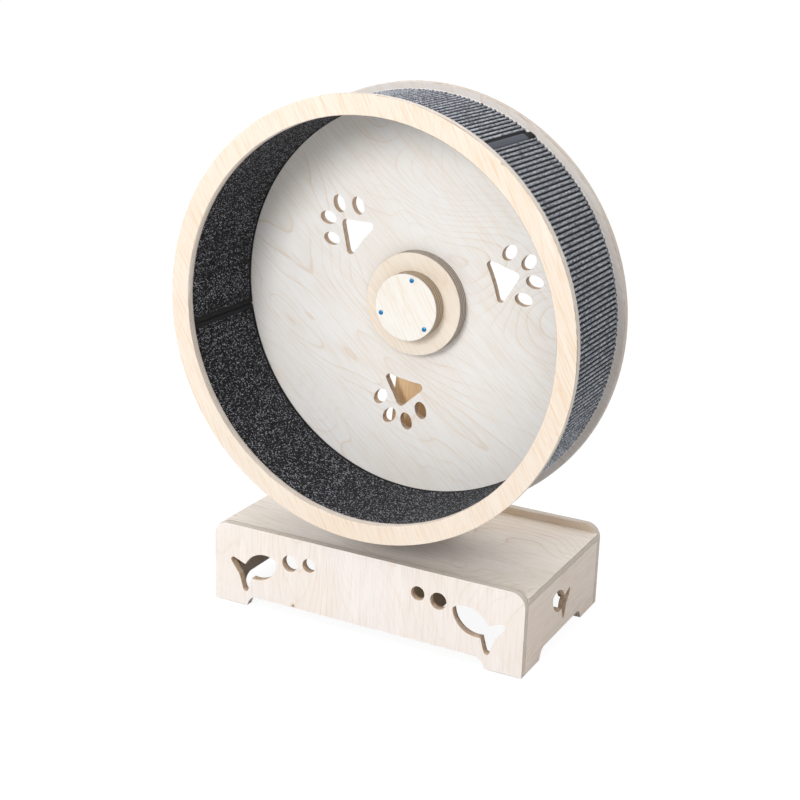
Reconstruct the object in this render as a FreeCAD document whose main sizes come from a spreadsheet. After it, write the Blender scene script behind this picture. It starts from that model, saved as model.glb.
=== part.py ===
"""A cantilevered exercise wheel for a cat, in birch plywood, on a box-shaped base.

Millimetres, +Z up. X runs along the base, Y from front to back, and the origin is on the floor
under the middle of the whole object. The wheel turns about an axle that runs along Y.
Angles around the wheel are in degrees from +X towards +Z, as seen from the front.
"""

import FreeCAD
import Part
import Sketcher

import math
import os

# The driving dimensions, one cell each.
SIZES = {
    # sheet material and clearances
    "ply": 15.0,                # thickness of the boards
    "seat_gap": 0.1,            # between curved faces that are glued or pressed together
    "slip_gap": 0.2,            # around a tenon, a dowel or a screw head
    "edge_round": 1.0,          # sanded rims of the wheel
    # wheel
    "wheel_radius": 400.0,      # outside of the front ring
    "disc_overhang": 2.0,       # back disc beyond the front ring
    "ring_width": 36.0,         # face of the front ring
    "wheel_inside": 206.0,      # between the front ring and the back disc
    "wheel_clearance": 49.5,    # between the back disc and the top board
    "front_overhang": 26.0,     # front ring ahead of the base's front panel
    "track_margin": 31.5,       # from the ring's rim in to the surface that the cat runs on
    "mat_thick": 5.0,           # inner carpet mats
    "mat_side_gap": 0.5,        # beside the mats
    "mat_gap": 1.6,             # between the ends of the two mats
    "shell_thick": 9.0,         # bent plywood drum
    "shell_gap": 0.2,           # between the two halves of the drum
    "groove_depth": 5.0,        # grooves in ring and disc that hold the drum
    "seam_angle": 188.5,        # where the mats and the drum's halves meet
    "carpet_thick": 7.0,        # ribbed outer carpet
    "strip_angle": 57.5,        # where the outer carpet's ends meet under a strip
    "strip_width": 17.0,
    "strip_rise": 1.2,          # how far the strip stands above the carpet
    # hub
    "hub_radius": 97.0,
    "hub_thick": 26.0,
    "cap_radius": 63.0,
    "cap_thick": 28.0,
    "cap_pocket_radius": 46.0,
    "cap_pocket_depth": 20.0,
    "cap_screw_circle": 53.0,
    "cap_screw_angle": 78.0,
    "cap_screw_radius": 2.0,
    "cap_screw_length": 40.0,
    "cap_screw_head": 4.3,      # radius of the domed head
    "cap_screw_dome": 2.6,      # height of the domed head
    "hub_screw_circle": 80.0,
    "hub_screw_angle": 8.0,
    "hub_screw_radius": 2.2,
    "hub_screw_length": 28.0,
    "hub_screw_head": 4.5,
    "hub_screw_head_thick": 2.4,
    # bearings and their housing
    "bore_radius": 10.0,        # axle journal and bearing bore
    "bearing_radius": 23.5,
    "bearing_width": 14.0,
    "inner_race_radius": 13.6,
    "outer_race_radius": 19.9,
    "ball_radius": 3.9,
    "ball_gap": 0.12,
    "cage_thick": 2.4,
    "cage_width": 9.6,
    "housing_radius": 30.0,
    "housing_flange_radius": 47.0,
    "housing_flange_thick": 5.0,
    "housing_recess": 0.5,      # the bearings lie this far inside the housing's ends
    "housing_web_radius": 20.0,
    "housing_bolt_circle": 38.5,
    "housing_bolt_angle": 45.0,
    "housing_bolt_radius": 3.0,
    "housing_head_radius": 5.6,
    "housing_head_thick": 4.0,
    "housing_nut_thick": 5.0,
    "bolt_stub": 1.5,           # thread that stands out of a nut
    # axle
    "spacer_radius": 13.0,
    "axle_collar_radius": 13.2,
    "axle_flange_radius": 42.0,
    "axle_flange_thick": 6.0,
    "axle_washer_radius": 16.0,
    "axle_washer_thick": 3.0,
    "axle_nut_radius": 17.0,
    "axle_nut_thick": 10.0,
    "axle_stub": 3.0,           # thread that stands out of the axle nut
    "axle_bolt_circle": 31.0,
    "axle_bolt_angle": 45.0,
    "axle_bolt_radius": 4.0,
    "axle_bolt_head": 7.4,
    "axle_bolt_head_thick": 5.3,
    "axle_bolt_washer": 8.5,
    "axle_bolt_washer_thick": 1.6,
    # post, braces and clamps
    "post_gap": 24.0,           # between the back disc and the post
    "post_top_radius": 50.0,
    "post_foot_half": 86.5,     # half width of the post where it stands on the top board
    "post_tenon_half": 79.8,    # half width of the tenon between the ribs
    "post_screw_low": 50.0,     # lowest row of screws above the top board
    "post_screw_mid": 150.0,    # middle row above the top board
    "post_screw_drop": 60.0,    # highest row below the braces' upper ends
    "post_screw_length": 60.0,
    "brace_offset": 38.0,       # inner face of each brace from the middle
    "brace_drop": 51.5,         # braces' upper ends below the axle
    "brace_top": 26.0,          # width of the brace's upper end
    "brace_round": 14.0,
    "brace_screw_inset": 22.0,
    "brace_screw_length": 45.0,
    "clamp_depth": 30.0,
    "clamp_height": 60.0,
    "clamp_lift": 30.0,         # clamp blocks above the tenon's end
    "clamp_bolt_offset": 45.0,
    "clamp_bolt_radius": 4.0,
    "clamp_head_radius": 7.4,
    "clamp_head_thick": 5.3,
    "clamp_nut_thick": 6.5,
    # base
    "base_length": 652.0,
    "base_depth": 369.0,
    "top_height": 152.5,        # upper face of the top board
    "front_lip": 12.0,          # front panel above the top board
    "back_lip": 15.0,           # back panel above the top board
    "corner_round": 28.0,
    "foot_height": 22.0,
    "foot_length": 73.0,        # feet of the front and back panels
    "side_foot_length": 67.0,   # feet of the side panels
    "foot_slant": 8.0,
    "foot_round": 20.0,
    "pad_thick": 1.5,
    "pad_inset": 6.0,
    "pad_width": 11.0,
    "rib_inner": 80.0,          # inner face of each rib from the middle
    "block_size": 20.0,
    "block_drop": 12.0,         # corner blocks above the arches
    # screws and dowels of the base
    "screw_radius": 2.0,
    "screw_head": 4.2,
    "screw_head_thick": 2.4,
    "block_screw_length": 28.0,
    "block_screw_margin": 30.0,
    "dowel_radius": 4.0,
    "dowel_length": 30.0,
    "dowel_in_panel": 10.0,
    "dowel_margin": 20.0,       # dowels from the ends of a board's edge
    "top_dowel_margin": 55.0,
    # cut-outs
    "paw_angle": 21.0,
    "paw_base": 153.5,          # inner corners of the paw's pad, from the axle
    "paw_half": 50.0,
    "paw_tip": 217.0,
    "paw_bow": 280.0,
    "paw_round": 8.0,
    "toe_long": 17.2,
    "toe_short": 12.0,
    "toe_tilt": 28.0,
    "outer_toe_reach": 207.0,
    "outer_toe_side": 44.0,
    "inner_toe_reach": 238.0,
    "inner_toe_side": 18.5,
    "fish_x": 217.7,            # middle of each front fish
    "fish_z": 90.3,
    "fish_tilt": 27.0,
    "fish_nose": 36.0,
    "fish_bow": 48.0,
    "fish_neck": 36.0,
    "fish_neck_half": 15.0,
    "fish_tail": 68.0,
    "fish_tail_half": 49.0,
    "fish_fork": 59.5,
    "fish_round": 6.0,
    "side_fish_scale": 0.83,
    "side_fish_depth": 160.0,   # behind the front panel's front
    "side_fish_z": 89.0,
    "big_bubble_x": 157.0,
    "big_bubble_z": 111.3,
    "big_bubble_radius": 16.5,
    "small_bubble_x": 115.2,
    "small_bubble_z": 116.5,
    "small_bubble_radius": 13.7,
}

PAWS = 3
CAP_SCREWS = 3
HUB_SCREWS = 6
HOUSING_BOLTS = 4
AXLE_BOLTS = 4
BALLS = 8

doc = FreeCAD.newDocument("cat_wheel")


# ---------------------------------------------------------------------------
# Sizes that keep their expression
# ---------------------------------------------------------------------------

class Size:
    """A number with the sheet's expression for it, so that arithmetic keeps the two in step."""

    def __init__(self, value, text):
        self.value = float(value)
        self.text = text

    def __add__(self, other):
        other = as_size(other)
        return Size(self.value + other.value, f"({self.text} + {other.text})")

    def __sub__(self, other):
        other = as_size(other)
        return Size(self.value - other.value, f"({self.text} - {other.text})")

    def __mul__(self, other):
        other = as_size(other)
        return Size(self.value * other.value, f"({self.text} * {other.text})")

    def __truediv__(self, other):
        other = as_size(other)
        return Size(self.value / other.value, f"({self.text} / {other.text})")

    def __neg__(self):
        return Size(-self.value, f"(0 - {self.text})")


def as_size(number):
    """A Size as it is, or a plain number as a Size."""
    if isinstance(number, Size):
        return number
    return Size(number, f"({number:.6f})")


def cosine(angle):
    """Cosine of an angle in degrees."""
    return Size(math.cos(math.radians(angle.value)), f"cos({angle.text} * 1deg)")


def sine(angle):
    """Sine of an angle in degrees."""
    return Size(math.sin(math.radians(angle.value)), f"sin({angle.text} * 1deg)")


def root(square):
    """Square root."""
    return Size(math.sqrt(square.value), f"sqrt({square.text})")


class Sizes:
    """The spreadsheet's sizes as attributes."""

    def __init__(self):
        sheet = doc.addObject("Spreadsheet::Sheet", "Sizes")
        for row, (alias, number) in enumerate(SIZES.items(), start=1):
            sheet.set(f"A{row}", alias.replace("_", " "))
            sheet.set(f"B{row}", f"{number:g}")
            sheet.setAlias(f"B{row}", alias)
            setattr(self, alias, Size(number, f"Sizes.{alias}"))
        doc.recompute()


s = Sizes()
ZERO = as_size(0)

# Places along Y, from the front to the back.
Y_FRONT = (s.front_overhang - s.base_depth) / 2
Y_BOX = Y_FRONT + s.ply
Y_BOX_BACK = Y_FRONT + s.base_depth - s.ply
Y_RING = Y_FRONT - s.front_overhang
Y_RING_BACK = Y_RING + s.ply
Y_DISC = Y_RING_BACK + s.wheel_inside
Y_DISC_BACK = Y_DISC + s.ply
Y_HUB = Y_DISC - s.hub_thick
Y_CAP = Y_HUB - s.cap_thick
Y_HOUSING_BACK = Y_DISC_BACK + s.housing_flange_thick
Y_POST = Y_DISC_BACK + s.post_gap
Y_POST_MID = Y_POST + s.ply
Y_POST_BACK = Y_POST_MID + s.ply
Y_AXLE_FLANGE = Y_POST - s.axle_flange_thick
Y_FRONT_BEARING = Y_HUB + s.housing_recess
Y_REAR_BEARING = Y_HOUSING_BACK - s.housing_recess - s.bearing_width
Y_AXLE_WASHER = Y_FRONT_BEARING - s.axle_washer_thick
Y_AXLE_NUT = Y_AXLE_WASHER - s.axle_nut_thick
Y_CLAMP = Y_POST - s.clamp_depth
Y_CLAMP_BACK = Y_POST_BACK + s.clamp_depth

# Radii around the axle.
R_DISC = s.wheel_radius + s.disc_overhang
R_TRACK = s.wheel_radius - s.track_margin
R_SHELL = R_TRACK + s.mat_thick
R_SHELL_OUT = R_SHELL + s.shell_thick
R_CARPET = R_SHELL_OUT + s.carpet_thick
R_PITCH = (s.inner_race_radius + s.outer_race_radius) / 2

# Places along X and heights of the base.
HALF = s.base_length / 2
X_SIDE = HALF - s.ply
X_RIB_OUT = s.rib_inner + s.ply
X_BRACE = s.brace_offset + s.ply / 2
Z_AXLE = s.top_height + s.wheel_clearance + R_DISC
Z_BRACE = Z_AXLE - s.brace_drop
Z_BOARD = s.top_height - s.ply
Z_FRONT = s.top_height + s.front_lip
Z_BACK = s.top_height + s.back_lip
Z_CLAMP = s.foot_height + s.clamp_lift
Z_CLAMP_BOLT = Z_CLAMP + s.clamp_height / 2
Z_BLOCK = s.foot_height + s.block_drop

# The boards that run from front to back, by their left faces.
UPRIGHTS = {
    "left_side_panel": -HALF,
    "right_side_panel": X_SIDE,
    "left_rib": -X_RIB_OUT,
    "right_rib": s.rib_inner,
}
DOWEL_HEIGHTS = (s.foot_height + s.dowel_margin, Z_BOARD - s.dowel_margin)
TOP_DOWEL_PLACES = (Y_BOX + s.top_dowel_margin, Y_BOX_BACK - s.top_dowel_margin)
BLOCK_SCREW_HEIGHTS = (Z_BLOCK + s.block_screw_margin, Z_BOARD - s.block_screw_margin)
BRACE_SCREW_PLACES = (Y_POST_BACK + s.brace_screw_inset, Y_BOX_BACK - s.brace_screw_inset)
POST_SCREW_HEIGHTS = (s.top_height + s.post_screw_low, s.top_height + s.post_screw_mid,
                      Z_BRACE - s.post_screw_drop)


# ---------------------------------------------------------------------------
# Sketches
# ---------------------------------------------------------------------------

def new_body(label, x=ZERO, y=ZERO, z=ZERO):
    """A body whose place is bound to the sheet."""
    body = doc.addObject("PartDesign::Body", label)
    body.Label = label
    for axis, place in (("x", x), ("y", y), ("z", z)):
        body.setExpression(f"Placement.Base.{axis}", place.text)
    return body


def new_wheel_body(label, turn=None):
    """A body centred on the axle, turned from the top towards +X by an angle."""
    body = new_body(label, z=Z_AXLE)
    if turn is not None:
        body.Placement.Rotation = FreeCAD.Rotation(FreeCAD.Vector(0, 1, 0), 10)
        body.setExpression("Placement.Rotation.Angle", f"{turn.text} * 1deg")
    return body


def origin_feature(body, role):
    """One of the body's own planes or axes."""
    return next(f for f in body.Origin.OriginFeatures if f.Role == role)


def new_sketch(body, plane, offset=ZERO, across=ZERO, up=ZERO, turn=None):
    """A sketch on one of the body's planes, moved along the normal and in the plane, and turned."""
    sketch = body.newObject("Sketcher::SketchObject", "Sketch")
    sketch.AttachmentSupport = [(origin_feature(body, plane), "")]
    sketch.MapMode = "FlatFace"
    for axis, place in (("x", across), ("y", up), ("z", offset)):
        sketch.setExpression(f"AttachmentOffset.Base.{axis}", place.text)
    if turn is not None:
        sketch.setExpression("AttachmentOffset.Rotation.Angle", f"{turn.text} * 1deg")
    return sketch


def bind(sketch, kind, *arguments):
    """Add a dimension whose last argument is a Size, and bind it to the sheet."""
    size = arguments[-1]
    number = sketch.addConstraint(Sketcher.Constraint(kind, *arguments[:-1], size.value))
    name = f"size{number}"
    sketch.renameConstraint(number, name)
    sketch.setExpression(f"Constraints.{name}", size.text)


def pin_point(sketch, geometry, end, place):
    """Bind a point's two coordinates."""
    bind(sketch, "DistanceX", -1, 1, geometry, end, place[0])
    bind(sketch, "DistanceY", -1, 1, geometry, end, place[1])


def vector(place):
    return FreeCAD.Vector(place[0].value, place[1].value, 0)


def bowed_side(start, end, bow):
    """An arc of less than a half circle that bows to the right of the way from start to end,
    or to the left if the bow's radius is negative."""
    chord = end - start
    right = FreeCAD.Vector(chord.y, -chord.x, 0).normalize()
    radius = abs(bow.value)
    rise = radius - math.sqrt(radius ** 2 - (chord.Length / 2) ** 2)
    crown = (start + end) * 0.5 + right * math.copysign(rise, bow.value)
    return Part.Arc(start, crown, end)


def side_ends(bows, side):
    """The point numbers of a side's start and end: an arc always runs anticlockwise."""
    if side in bows and bows[side].value < 0:
        return 2, 1
    return 1, 2


def outline(sketch, corners, bows=None):
    """A closed outline through the corners. bows gives the radius of the sides that are arcs,
    by the number of the corner where they start."""
    bows = bows or {}
    count = len(corners)
    for side, corner in enumerate(corners):
        start = vector(corner)
        end = vector(corners[(side + 1) % count])
        curve = bowed_side(start, end, bows[side]) if side in bows else Part.LineSegment(start, end)
        sketch.addGeometry(curve, False)
    for side, corner in enumerate(corners):
        following = (side + 1) % count
        ends = (side_ends(bows, side)[1], side_ends(bows, following)[0])
        sketch.addConstraint(Sketcher.Constraint("Coincident", side, ends[0], following, ends[1]))
        pin_point(sketch, side, side_ends(bows, side)[0], corner)
    for side, bow in bows.items():
        bind(sketch, "Radius", side, bow if bow.value > 0 else -bow)


def circle(sketch, place, radius):
    """A circle bound to the sheet."""
    number = sketch.addGeometry(
        Part.Circle(vector(place), FreeCAD.Vector(0, 0, 1), radius.value), False)
    pin_point(sketch, number, 3, place)
    bind(sketch, "Radius", number, radius)


def ellipse(sketch, place, long_half, short_half, tilt):
    """An ellipse bound to the sheet, its long axis turned from the sketch's X axis by tilt."""
    centre = vector(place)
    angle = math.radians(tilt.value)
    along = FreeCAD.Vector(math.cos(angle), math.sin(angle), 0) * long_half.value
    across = FreeCAD.Vector(-math.sin(angle), math.cos(angle), 0) * short_half.value
    number = sketch.addGeometry(Part.Ellipse(centre + along, centre + across, centre), False)
    sketch.exposeInternalGeometry(number)
    pin_point(sketch, number, 3, place)
    bind(sketch, "Distance", number + 1, long_half * 2)
    bind(sketch, "Distance", number + 2, short_half * 2)
    index = sketch.addConstraint(Sketcher.Constraint("Angle", number + 1, angle))
    sketch.renameConstraint(index, f"tilt{index}")
    sketch.setExpression(f"Constraints.tilt{index}", f"{tilt.text} * 1deg")


def rectangle(x0, x1, y0, y1):
    """The corners of a rectangle, anticlockwise."""
    return [(x0, y0), (x1, y0), (x1, y1), (x0, y1)]


# ---------------------------------------------------------------------------
# Features
# ---------------------------------------------------------------------------

def pad(body, sketch, length, reverse=False):
    feature = body.newObject("PartDesign::Pad", "Pad")
    feature.Profile = sketch
    feature.setExpression("Length", length.text)
    feature.Reversed = reverse
    return feature


def cut(body, sketch, length, reverse=False):
    """A pocket that has to remove something."""
    doc.recompute()
    before = body.Tip.Shape.Volume
    feature = body.newObject("PartDesign::Pocket", "Pocket")
    feature.Profile = sketch
    feature.setExpression("Length", length.text)
    feature.Reversed = reverse
    doc.recompute()
    if not feature.Shape.Volume < before:
        raise RuntimeError(f"a pocket of {body.Label} cuts nothing")
    return feature


def revolution(body, sketch, axis="H_Axis", angle=None):
    """Turn a profile about the sketch's horizontal axis, or about one of its edges."""
    feature = body.newObject("PartDesign::Revolution", "Revolution")
    feature.Profile = sketch
    feature.ReferenceAxis = (sketch, [axis])
    feature.Angle = 360
    if angle is not None:
        feature.setExpression("Angle", f"{angle.text} * 1deg")
    return feature


def polar(body, features, count):
    """Repeat features around the axle."""
    pattern = body.newObject("PartDesign::PolarPattern", "Pattern")
    pattern.Originals = features
    pattern.Axis = (origin_feature(body, "Y_Axis"), [""])
    pattern.Angle = 360
    pattern.Occurrences = count
    body.Tip = pattern
    return pattern


def fillet(body, wanted, radius):
    """Round the edges of the body's tip that wanted accepts."""
    doc.recompute()
    base = body.Tip
    names = [f"Edge{n}" for n, edge in enumerate(base.Shape.Edges, start=1) if wanted(edge)]
    if not names:
        raise RuntimeError(f"a fillet of {body.Label} finds no edge")
    feature = body.newObject("PartDesign::Fillet", "Fillet")
    feature.Base = (base, names)
    feature.setExpression("Radius", radius.text)
    return feature


def near(first, second):
    return abs(first - second) < 1e-4


def along_y(places):
    """A test for edges that run along Y at one of the X-Z places."""
    def wanted(edge):
        points = [vertex.Point for vertex in edge.Vertexes]
        return (len(points) == 2 and near(points[0].x, points[1].x)
                and near(points[0].z, points[1].z)
                and any(near(points[0].x, x) and near(points[0].z, z) for x, z in places))
    return wanted


def along_x(places):
    """A test for edges that run along X at one of the Y-Z places."""
    def wanted(edge):
        points = [vertex.Point for vertex in edge.Vertexes]
        return (len(points) == 2 and near(points[0].y, points[1].y)
                and near(points[0].z, points[1].z)
                and any(near(points[0].y, y) and near(points[0].z, z) for y, z in places))
    return wanted


def rims(places):
    """A test for circles around the axle at one of the Y-radius places."""
    pairs = values(places)

    def wanted(edge):
        curve = edge.Curve
        return (isinstance(curve, Part.Circle) and near(curve.Center.x, 0) and near(curve.Center.z, 0)
                and any(near(curve.Center.y, y) and near(curve.Radius, r) for y, r in pairs))
    return wanted


def values(places):
    """Pairs of Sizes as pairs of numbers."""
    return [(first.value, second.value) for first, second in places]


def around(reach, angle, count):
    """Places on a circle round the axle, as X and Z."""
    turns = [angle + number * 360 / count for number in range(count)]
    return [(reach * cosine(turn), reach * sine(turn)) for turn in turns]


def arc_angle(width, radius):
    """The angle that a width takes up at a radius."""
    return width / radius * (180 / math.pi)


# ---------------------------------------------------------------------------
# Pieces that are turned or stand round the axle
# ---------------------------------------------------------------------------

def turned(label, profile, bows=None, rounded=()):
    """A body of the wheel turned about the axle from a closed Y-radius profile."""
    body = new_wheel_body(label)
    sketch = new_sketch(body, "YZ_Plane")
    outline(sketch, profile, bows)
    revolution(body, sketch)
    if rounded:
        fillet(body, rims(rounded), s.edge_round)
    return body


def sector(label, profile, start, sweep):
    """Part of a turned ring, from the start angle clockwise as seen from the front."""
    body = new_wheel_body(label, -start + 90)
    sketch = new_sketch(body, "YZ_Plane")
    outline(sketch, profile)
    revolution(body, sketch, angle=sweep)
    return body


def holes_round(body, y, places, radius, depth, backwards=False):
    """Round holes cut from the plane at y towards the back, or towards the front."""
    sketch = new_sketch(body, "XZ_Plane", offset=-y)
    for place in places:
        circle(sketch, place, radius)
    return cut(body, sketch, depth, reverse=backwards)


def round_fasteners(label, profile, reach, angle, count, bows=None):
    """Equal turned fasteners round the axle, as separate solids of one piece. The profile's first
    side lies on the fastener's own axis, and its radii are measured from there."""
    body = new_wheel_body(label, -angle + 90)
    sketch = new_sketch(body, "YZ_Plane", up=reach)
    outline(sketch, profile, bows)
    polar(body, [revolution(body, sketch, axis="Edge1")], count)
    return body


def hexagon(place, radius):
    """The corners of a hexagon."""
    turns = [as_size(60 * corner) for corner in range(6)]
    return [(place[0] + radius * cosine(turn), place[1] + radius * sine(turn)) for turn in turns]


def hex_prisms(body, y, places, radius, thick):
    """Hexagons from the plane at y towards the back."""
    pads = []
    for place in places:
        sketch = new_sketch(body, "XZ_Plane", offset=-y)
        outline(sketch, hexagon(place, radius))
        pads.append(pad(body, sketch, thick, reverse=True))
    return pads


def rods(body, y, places, radius, length):
    """Round rods from the plane at y towards the back."""
    sketch = new_sketch(body, "XZ_Plane", offset=-y)
    for place in places:
        circle(sketch, place, radius)
    return pad(body, sketch, length, reverse=True)


def drum_groove(side, inward):
    """The corners of the groove for the drum in a face at side, cut inward."""
    low = R_SHELL - s.slip_gap
    high = R_SHELL_OUT + s.slip_gap
    floor = side + inward
    return [(side, high), (floor, high), (floor, low), (side, low)]


def make_front_ring():
    inner = s.wheel_radius - s.ring_width
    profile = [(Y_RING, inner), (Y_RING, s.wheel_radius), (Y_RING_BACK, s.wheel_radius)]
    profile += drum_groove(Y_RING_BACK, -s.groove_depth)
    profile += [(Y_RING_BACK, inner)]
    outer = [(Y_RING, s.wheel_radius), (Y_RING_BACK, s.wheel_radius), (Y_RING, inner)]
    return turned("front_ring", profile, rounded=outer)


def paw_sketch(body):
    """One paw through the disc, its toes pointing away from the axle."""
    sketch = new_sketch(body, "XZ_Plane", offset=-Y_DISC, turn=s.paw_angle)
    pad_corners = [(s.paw_tip, ZERO), (s.paw_base, s.paw_half), (s.paw_base, -s.paw_half)]
    outline(sketch, pad_corners, {1: -s.paw_bow})
    for side in (1, -1):
        tilt = s.toe_tilt * side
        for reach, offset in ((s.outer_toe_reach, s.outer_toe_side), (s.inner_toe_reach, s.inner_toe_side)):
            ellipse(sketch, (reach, offset * side), s.toe_long, s.toe_short, tilt)
    return sketch


def make_back_disc():
    bore = s.housing_radius + s.seat_gap
    profile = [(Y_DISC, bore)]
    profile += [(Y_DISC, R_SHELL - s.slip_gap)]
    profile += [(Y_DISC + s.groove_depth, R_SHELL - s.slip_gap)]
    profile += [(Y_DISC + s.groove_depth, R_SHELL_OUT + s.slip_gap)]
    profile += [(Y_DISC, R_SHELL_OUT + s.slip_gap)]
    profile += [(Y_DISC, R_DISC), (Y_DISC_BACK, R_DISC), (Y_DISC_BACK, bore)]
    body = turned("back_disc", profile,
                  rounded=[(Y_DISC, R_DISC), (Y_DISC_BACK, R_DISC)])
    paw = cut(body, paw_sketch(body), s.ply)
    polar(body, [paw], PAWS)
    corners = []
    for reach, offset in ((s.paw_tip, ZERO), (s.paw_base, s.paw_half), (s.paw_base, -s.paw_half)):
        for number in range(PAWS):
            turn = s.paw_angle + number * 360 / PAWS
            corners.append((reach * cosine(turn) - offset * sine(turn),
                            reach * sine(turn) + offset * cosine(turn)))
    fillet(body, along_y(values(corners)), s.paw_round)
    bolts = around(s.housing_bolt_circle, s.housing_bolt_angle, HOUSING_BOLTS)
    holes_round(body, Y_DISC, bolts, s.housing_bolt_radius + s.seat_gap, s.ply)
    screws = around(s.hub_screw_circle, s.hub_screw_angle, HUB_SCREWS)
    holes_round(body, Y_DISC, screws, s.hub_screw_radius + s.seat_gap, s.ply)
    holes_round(body, Y_DISC_BACK, screws, s.hub_screw_head + s.slip_gap, s.hub_screw_head_thick,
                backwards=True)
    return body


def make_drum_shells():
    half_gap = arc_angle(s.shell_gap, R_SHELL) / 2
    profile = rectangle(Y_RING_BACK - s.groove_depth, Y_DISC + s.groove_depth, R_SHELL, R_SHELL_OUT)
    sweep = -half_gap * 2 + 180
    return [sector("upper_drum_shell", profile, s.seam_angle - half_gap, sweep),
            sector("lower_drum_shell", profile, s.seam_angle - half_gap - 180, sweep)]


def make_mats():
    half_gap = arc_angle(s.mat_gap, R_TRACK) / 2
    profile = rectangle(Y_RING_BACK + s.mat_side_gap, Y_DISC - s.mat_side_gap,
                        R_TRACK, R_SHELL - s.seat_gap)
    sweep = -half_gap * 2 + 180
    return [sector("upper_inner_mat", profile, s.seam_angle - half_gap, sweep),
            sector("lower_inner_mat", profile, s.seam_angle - half_gap - 180, sweep)]


def make_outer_carpet():
    strip = arc_angle(s.strip_width, R_CARPET)
    inner = R_SHELL_OUT + s.seat_gap
    carpet = rectangle(Y_RING_BACK, Y_DISC, inner, R_CARPET)
    cover = rectangle(Y_RING_BACK, Y_DISC, inner, R_CARPET + s.strip_rise)
    return [sector("outer_carpet", carpet, s.strip_angle - strip / 2, -strip + 360),
            sector("carpet_seam_strip", cover, s.strip_angle + strip / 2, strip)]


def make_hub_plate():
    bore = s.housing_radius + s.seat_gap
    profile = rectangle(Y_HUB, Y_DISC, bore, s.hub_radius)
    body = turned("hub_plate", profile, rounded=[(Y_HUB, s.hub_radius)])
    bolts = around(s.housing_bolt_circle, s.housing_bolt_angle, HOUSING_BOLTS)
    holes_round(body, Y_HUB, bolts, s.housing_bolt_radius + s.seat_gap, s.hub_thick)
    screws = around(s.cap_screw_circle, s.cap_screw_angle, CAP_SCREWS)
    holes_round(body, Y_HUB, screws, s.cap_screw_radius + s.seat_gap,
                s.cap_screw_length - s.cap_thick)
    plate_screws = around(s.hub_screw_circle, s.hub_screw_angle, HUB_SCREWS)
    holes_round(body, Y_DISC, plate_screws, s.hub_screw_radius + s.seat_gap,
                s.hub_screw_length - s.ply, backwards=True)
    return body


def make_hub_cap():
    floor = Y_HUB - s.cap_pocket_depth
    profile = [(Y_CAP, ZERO), (Y_CAP, s.cap_radius), (Y_HUB, s.cap_radius),
               (Y_HUB, s.cap_pocket_radius), (floor, s.cap_pocket_radius), (floor, ZERO)]
    body = turned("hub_cap", profile, rounded=[(Y_CAP, s.cap_radius)])
    screws = around(s.cap_screw_circle, s.cap_screw_angle, CAP_SCREWS)
    holes_round(body, Y_CAP, screws, s.cap_screw_radius + s.seat_gap, s.cap_thick)
    return body


def make_cap_screws():
    end = Y_CAP + s.cap_screw_length
    head = s.cap_screw_head
    dome = s.cap_screw_dome
    dome_radius = (head * head + dome * dome) / (dome * 2)
    profile = [(end, ZERO), (Y_CAP - dome, ZERO), (Y_CAP, head), (Y_CAP, s.cap_screw_radius),
               (end, s.cap_screw_radius)]
    return round_fasteners("hub_cap_screws", profile, s.cap_screw_circle, s.cap_screw_angle,
                           CAP_SCREWS, {1: -dome_radius})


def make_hub_screws():
    end = Y_DISC_BACK - s.hub_screw_length
    head = Y_DISC_BACK - s.hub_screw_head_thick
    profile = [(end, ZERO), (Y_DISC_BACK, ZERO), (Y_DISC_BACK, s.hub_screw_head),
               (head, s.hub_screw_head), (head, s.hub_screw_radius), (end, s.hub_screw_radius)]
    return round_fasteners("hub_plate_screws", profile, s.hub_screw_circle, s.hub_screw_angle,
                           HUB_SCREWS)


def make_bearing_housing():
    seat = s.bearing_radius + s.seat_gap
    front_end = Y_FRONT_BEARING + s.bearing_width
    profile = [(Y_HUB, seat), (Y_HUB, s.housing_radius), (Y_DISC_BACK, s.housing_radius),
               (Y_DISC_BACK, s.housing_flange_radius), (Y_HOUSING_BACK, s.housing_flange_radius),
               (Y_HOUSING_BACK, seat), (Y_REAR_BEARING, seat), (Y_REAR_BEARING, s.housing_web_radius),
               (front_end, s.housing_web_radius), (front_end, seat)]
    body = turned("bearing_housing", profile)
    bolts = around(s.housing_bolt_circle, s.housing_bolt_angle, HOUSING_BOLTS)
    holes_round(body, Y_DISC_BACK, bolts, s.housing_bolt_radius + s.seat_gap,
                s.housing_flange_thick)
    return body


def make_housing_bolts():
    places = around(s.housing_bolt_circle, s.housing_bolt_angle, HOUSING_BOLTS)
    bolts = new_wheel_body("housing_bolts")
    head = Y_HUB - s.housing_head_thick
    reach = s.hub_thick + s.ply + s.housing_flange_thick + s.housing_nut_thick + s.bolt_stub
    rods(bolts, Y_HUB, places, s.housing_bolt_radius, reach)
    hex_prisms(bolts, head, places, s.housing_head_radius, s.housing_head_thick)
    nuts = new_wheel_body("housing_nuts")
    hex_prisms(nuts, Y_HOUSING_BACK, places, s.housing_head_radius, s.housing_nut_thick)
    holes_round(nuts, Y_HOUSING_BACK, places, s.housing_bolt_radius + s.seat_gap / 2,
                s.housing_nut_thick)
    return [bolts, nuts]


def bind_place(thing, x, y, z):
    """Bind the place of a plain solid to the sheet."""
    for axis, place in (("x", x), ("y", y), ("z", z)):
        thing.setExpression(f"Placement.Base.{axis}", place.text)


def cylinder_along(direction, x, y, z, radius, length):
    """A cylinder along an axis, from its start at x, y, z."""
    rod = doc.addObject("Part::Cylinder", "Rod")
    turns = {"x": FreeCAD.Rotation(FreeCAD.Vector(0, 1, 0), 90),
             "y": FreeCAD.Rotation(FreeCAD.Vector(1, 0, 0), -90),
             "z": FreeCAD.Rotation()}
    rod.Placement.Rotation = turns[direction]
    rod.setExpression("Radius", radius.text)
    rod.setExpression("Height", length.text)
    bind_place(rod, x, y, z)
    return rod


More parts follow.
